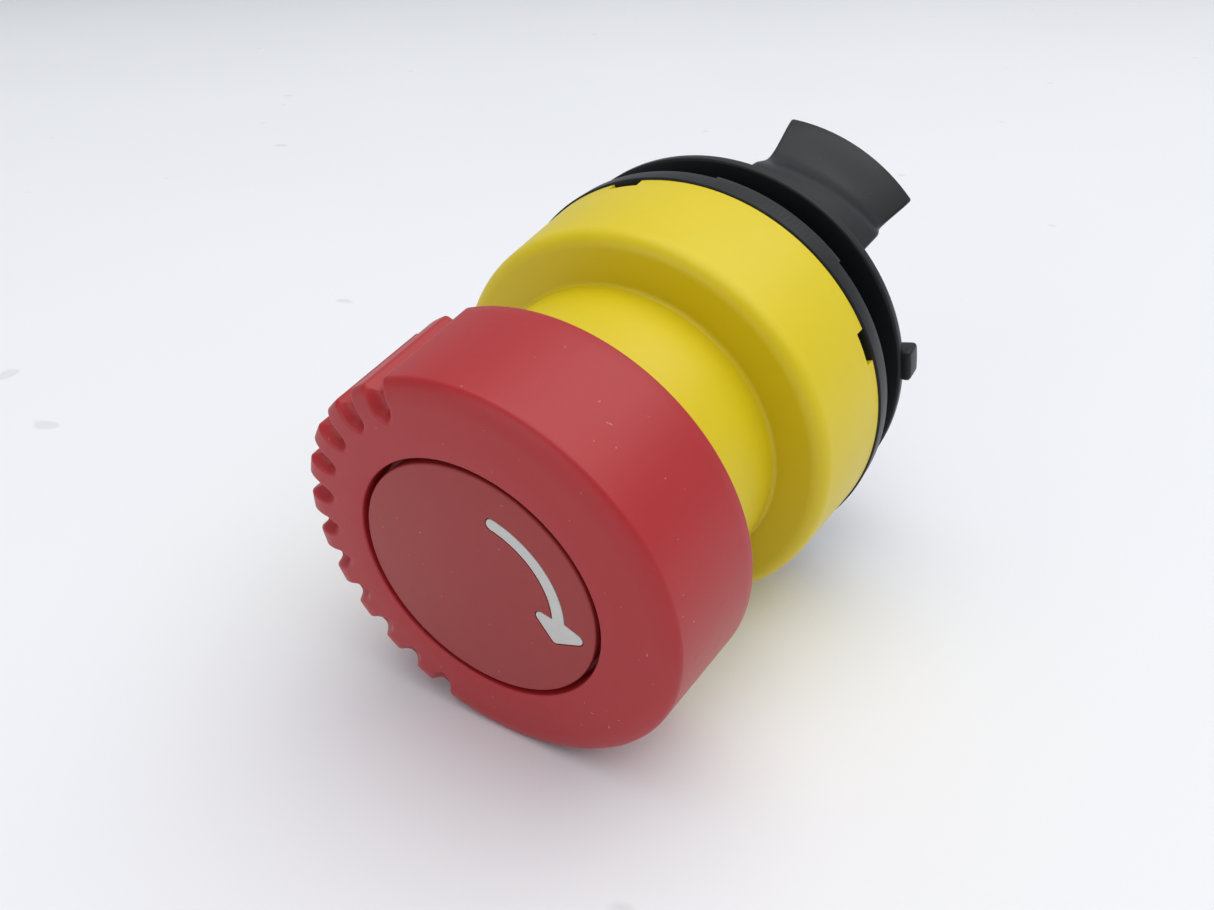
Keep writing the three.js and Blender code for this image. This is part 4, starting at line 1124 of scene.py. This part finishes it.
def make_stage(sizes, colours, base):
    """Pale table, soft studio lights and the camera."""
    point, tilt = floor_frame(base)
    lean = Matrix.Translation(point) @ Matrix.Rotation(tilt, 4, "X")
    half, thickness = sizes.floor_size / 2, 5 * MM
    floor = slab("table", 1, 1, lambda u, v, far: lean @ Vector((
        half * (2 * u - 1), half * (2 * v - 1), 0.0 if far else -thickness)))
    table_top("table_top", colours.floor)
    floor.data.materials.append(finish_of("table_top"))

    bpy.context.scene.world = soft_room()
    softbox(
        lean, "overhead softbox", spot=(350, 150, 1350), size=(2000, 2000), watts=23.0,
        tint=(1.0, 0.985, 0.96))
    softbox(
        lean, "front softbox", spot=(-150, -700, 200), size=(500, 500), watts=1.15, tint=(0.97, 0.98, 1.0))

    camera = bpy.data.objects.new("camera", bpy.data.cameras.new("camera"))
    bpy.context.scene.collection.objects.link(camera)
    back = Vector((
        math.sin(sizes.azimuth) * math.cos(sizes.elevation),
        -math.cos(sizes.azimuth) * math.cos(sizes.elevation), math.sin(sizes.elevation)))
    camera.location = Vector((sizes.look_x, sizes.look_y, sizes.look_z)) + back * sizes.distance
    camera.rotation_mode = "QUATERNION"
    camera.rotation_quaternion = (-back).to_track_quat("-Z", "Y") @ Quaternion((0, 0, 1), sizes.roll)
    camera.data.lens = camera.data.sensor_width * sizes.focal_length
    camera.data.clip_start = 5 * MM
    bpy.context.scene.camera = camera


SHADE, PALE = (0.36, 0.38, 0.43, 1.0), (0.90, 0.94, 1.0, 1.0)


def soft_room():
    """An even pale room that is darker towards the user's side."""
    world = bpy.data.worlds.new("soft room")
    world.use_nodes = True
    graph = Graph(world.node_tree)
    background = world.node_tree.nodes["Background"]
    direction = graph.node("ShaderNodeTexCoord", output="Generated")
    depth = graph.node("ShaderNodeSeparateXYZ", None, {"Vector": direction}, "Y")
    tint = graph.mixed(graph.between(depth, -0.8, 0.3), SHADE, PALE)
    graph.tree.links.new(tint.output, background.inputs["Color"])
    background.inputs["Strength"].default_value = 0.54
    return world


def softbox(lean, name, spot, size, watts, tint):
    """A rectangular soft light that looks at the part. Its spot over the table and its size are in mm."""
    light = bpy.data.lights.new(name, "AREA")
    light.shape = "RECTANGLE"
    light.size, light.size_y = (side * MM for side in size)
    light.energy = watts
    light.color = tint
    made = bpy.data.objects.new(name, light)
    made.location = lean @ (Vector(spot) * MM)
    made.rotation_euler = (-made.location).to_track_quat("-Z", "Y").to_euler()
    bpy.context.scene.collection.objects.link(made)


# ---------------------------------------------------------------- operators and panel

class STOP_OT_finishes(bpy.types.Operator):
    """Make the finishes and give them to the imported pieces"""
    bl_idname = "stop_head.finishes"
    bl_label = "Finishes"

    def execute(self, context):
        make_finishes(context.scene.stop_finishes)
        return {"FINISHED"}


class STOP_OT_cap(bpy.types.Operator):
    """Build the scooped mushroom cap"""
    bl_idname = "stop_head.cap"
    bl_label = "Mushroom cap"

    def execute(self, context):
        make_cap(context.scene.stop_cap)
        return {"FINISHED"}


class STOP_OT_face(bpy.types.Operator):
    """Build the disc in the cap's face and its arrow"""
    bl_idname = "stop_head.face"
    bl_label = "Face disc and arrow"

    def execute(self, context):
        make_face(context.scene.stop_face)
        return {"FINISHED"}


class STOP_OT_collar(bpy.types.Operator):
    """Build the yellow collar and its neck"""
    bl_idname = "stop_head.collar"
    bl_label = "Collar"

    def execute(self, context):
        make_collar(context.scene.stop_collar)
        return {"FINISHED"}


class STOP_OT_base(bpy.types.Operator):
    """Build the base body and its gasket"""
    bl_idname = "stop_head.base"
    bl_label = "Base body"

    def execute(self, context):
        make_base(context.scene.stop_base, context.scene.stop_collar)
        return {"FINISHED"}


class STOP_OT_travel(bpy.types.Operator):
    """Build the plunger, the push pad and the spring's seat"""
    bl_idname = "stop_head.travel"
    bl_label = "Plunger and pad"

    def execute(self, context):
        make_travel_pieces(context.scene.stop_inner, context.scene.stop_base)
        return {"FINISHED"}


class STOP_OT_springs(bpy.types.Operator):
    """Wind the four coil springs"""
    bl_idname = "stop_head.springs"
    bl_label = "Springs"

    def execute(self, context):
        make_springs(context.scene.stop_inner)
        return {"FINISHED"}


class STOP_OT_ring(bpy.types.Operator):
    """Build the clamping ring with its grips and lugs"""
    bl_idname = "stop_head.ring"
    bl_label = "Clamping ring"

    def execute(self, context):
        make_ring(context.scene.stop_ring, context.scene.stop_base)
        return {"FINISHED"}


class STOP_OT_stage(bpy.types.Operator):
    """Set up the table, the soft lights and the camera"""
    bl_idname = "stop_head.stage"
    bl_label = "Stage"

    def execute(self, context):
        scene = context.scene
        make_stage(scene.stop_stage, scene.stop_finishes, scene.stop_base)
        return {"FINISHED"}


GROUPS = {
    "stop_cap": CapSizes, "stop_face": FaceSizes, "stop_collar": CollarSizes, "stop_base": BaseSizes,
    "stop_ring": RingSizes, "stop_inner": InnerSizes, "stop_finishes": Finishes, "stop_stage": StageSizes,
}
OPERATORS = (
    STOP_OT_finishes, STOP_OT_stage, STOP_OT_cap, STOP_OT_face, STOP_OT_collar, STOP_OT_base,
    STOP_OT_travel, STOP_OT_springs, STOP_OT_ring,
)


class STOP_PT_panel(bpy.types.Panel):
    """Lists the steps that build the head, and its sizes and colours"""
    bl_idname = "STOP_PT_panel"
    bl_label = "Emergency stop head"
    bl_space_type = "VIEW_3D"
    bl_region_type = "UI"
    bl_category = "Stop head"

    def draw(self, context):
        for operator in OPERATORS:
            self.layout.operator(operator.bl_idname)
        for name, group in GROUPS.items():
            settings = getattr(context.scene, name)
            box = self.layout.box()
            box.label(text=name.removeprefix("stop_").capitalize())
            for label in group.__annotations__:
                box.prop(settings, label)


def register():
    for group in GROUPS.values():
        bpy.utils.register_class(group)
    for name, group in GROUPS.items():
        setattr(bpy.types.Scene, name, bpy.props.PointerProperty(type=group))
    for operator in (*OPERATORS, STOP_PT_panel):
        bpy.utils.register_class(operator)


def unregister():
    for operator in (STOP_PT_panel, *reversed(OPERATORS)):
        bpy.utils.unregister_class(operator)
    for name in GROUPS:
        delattr(bpy.types.Scene, name)
    for group in reversed(GROUPS.values()):
        bpy.utils.unregister_class(group)


def main():
    register()
    bpy.context.scene.view_settings.view_transform = "Standard"
    for operator in OPERATORS:
        group, name = operator.bl_idname.split(".")
        getattr(getattr(bpy.ops, group), name)()


if __name__ == "__main__":
    main()
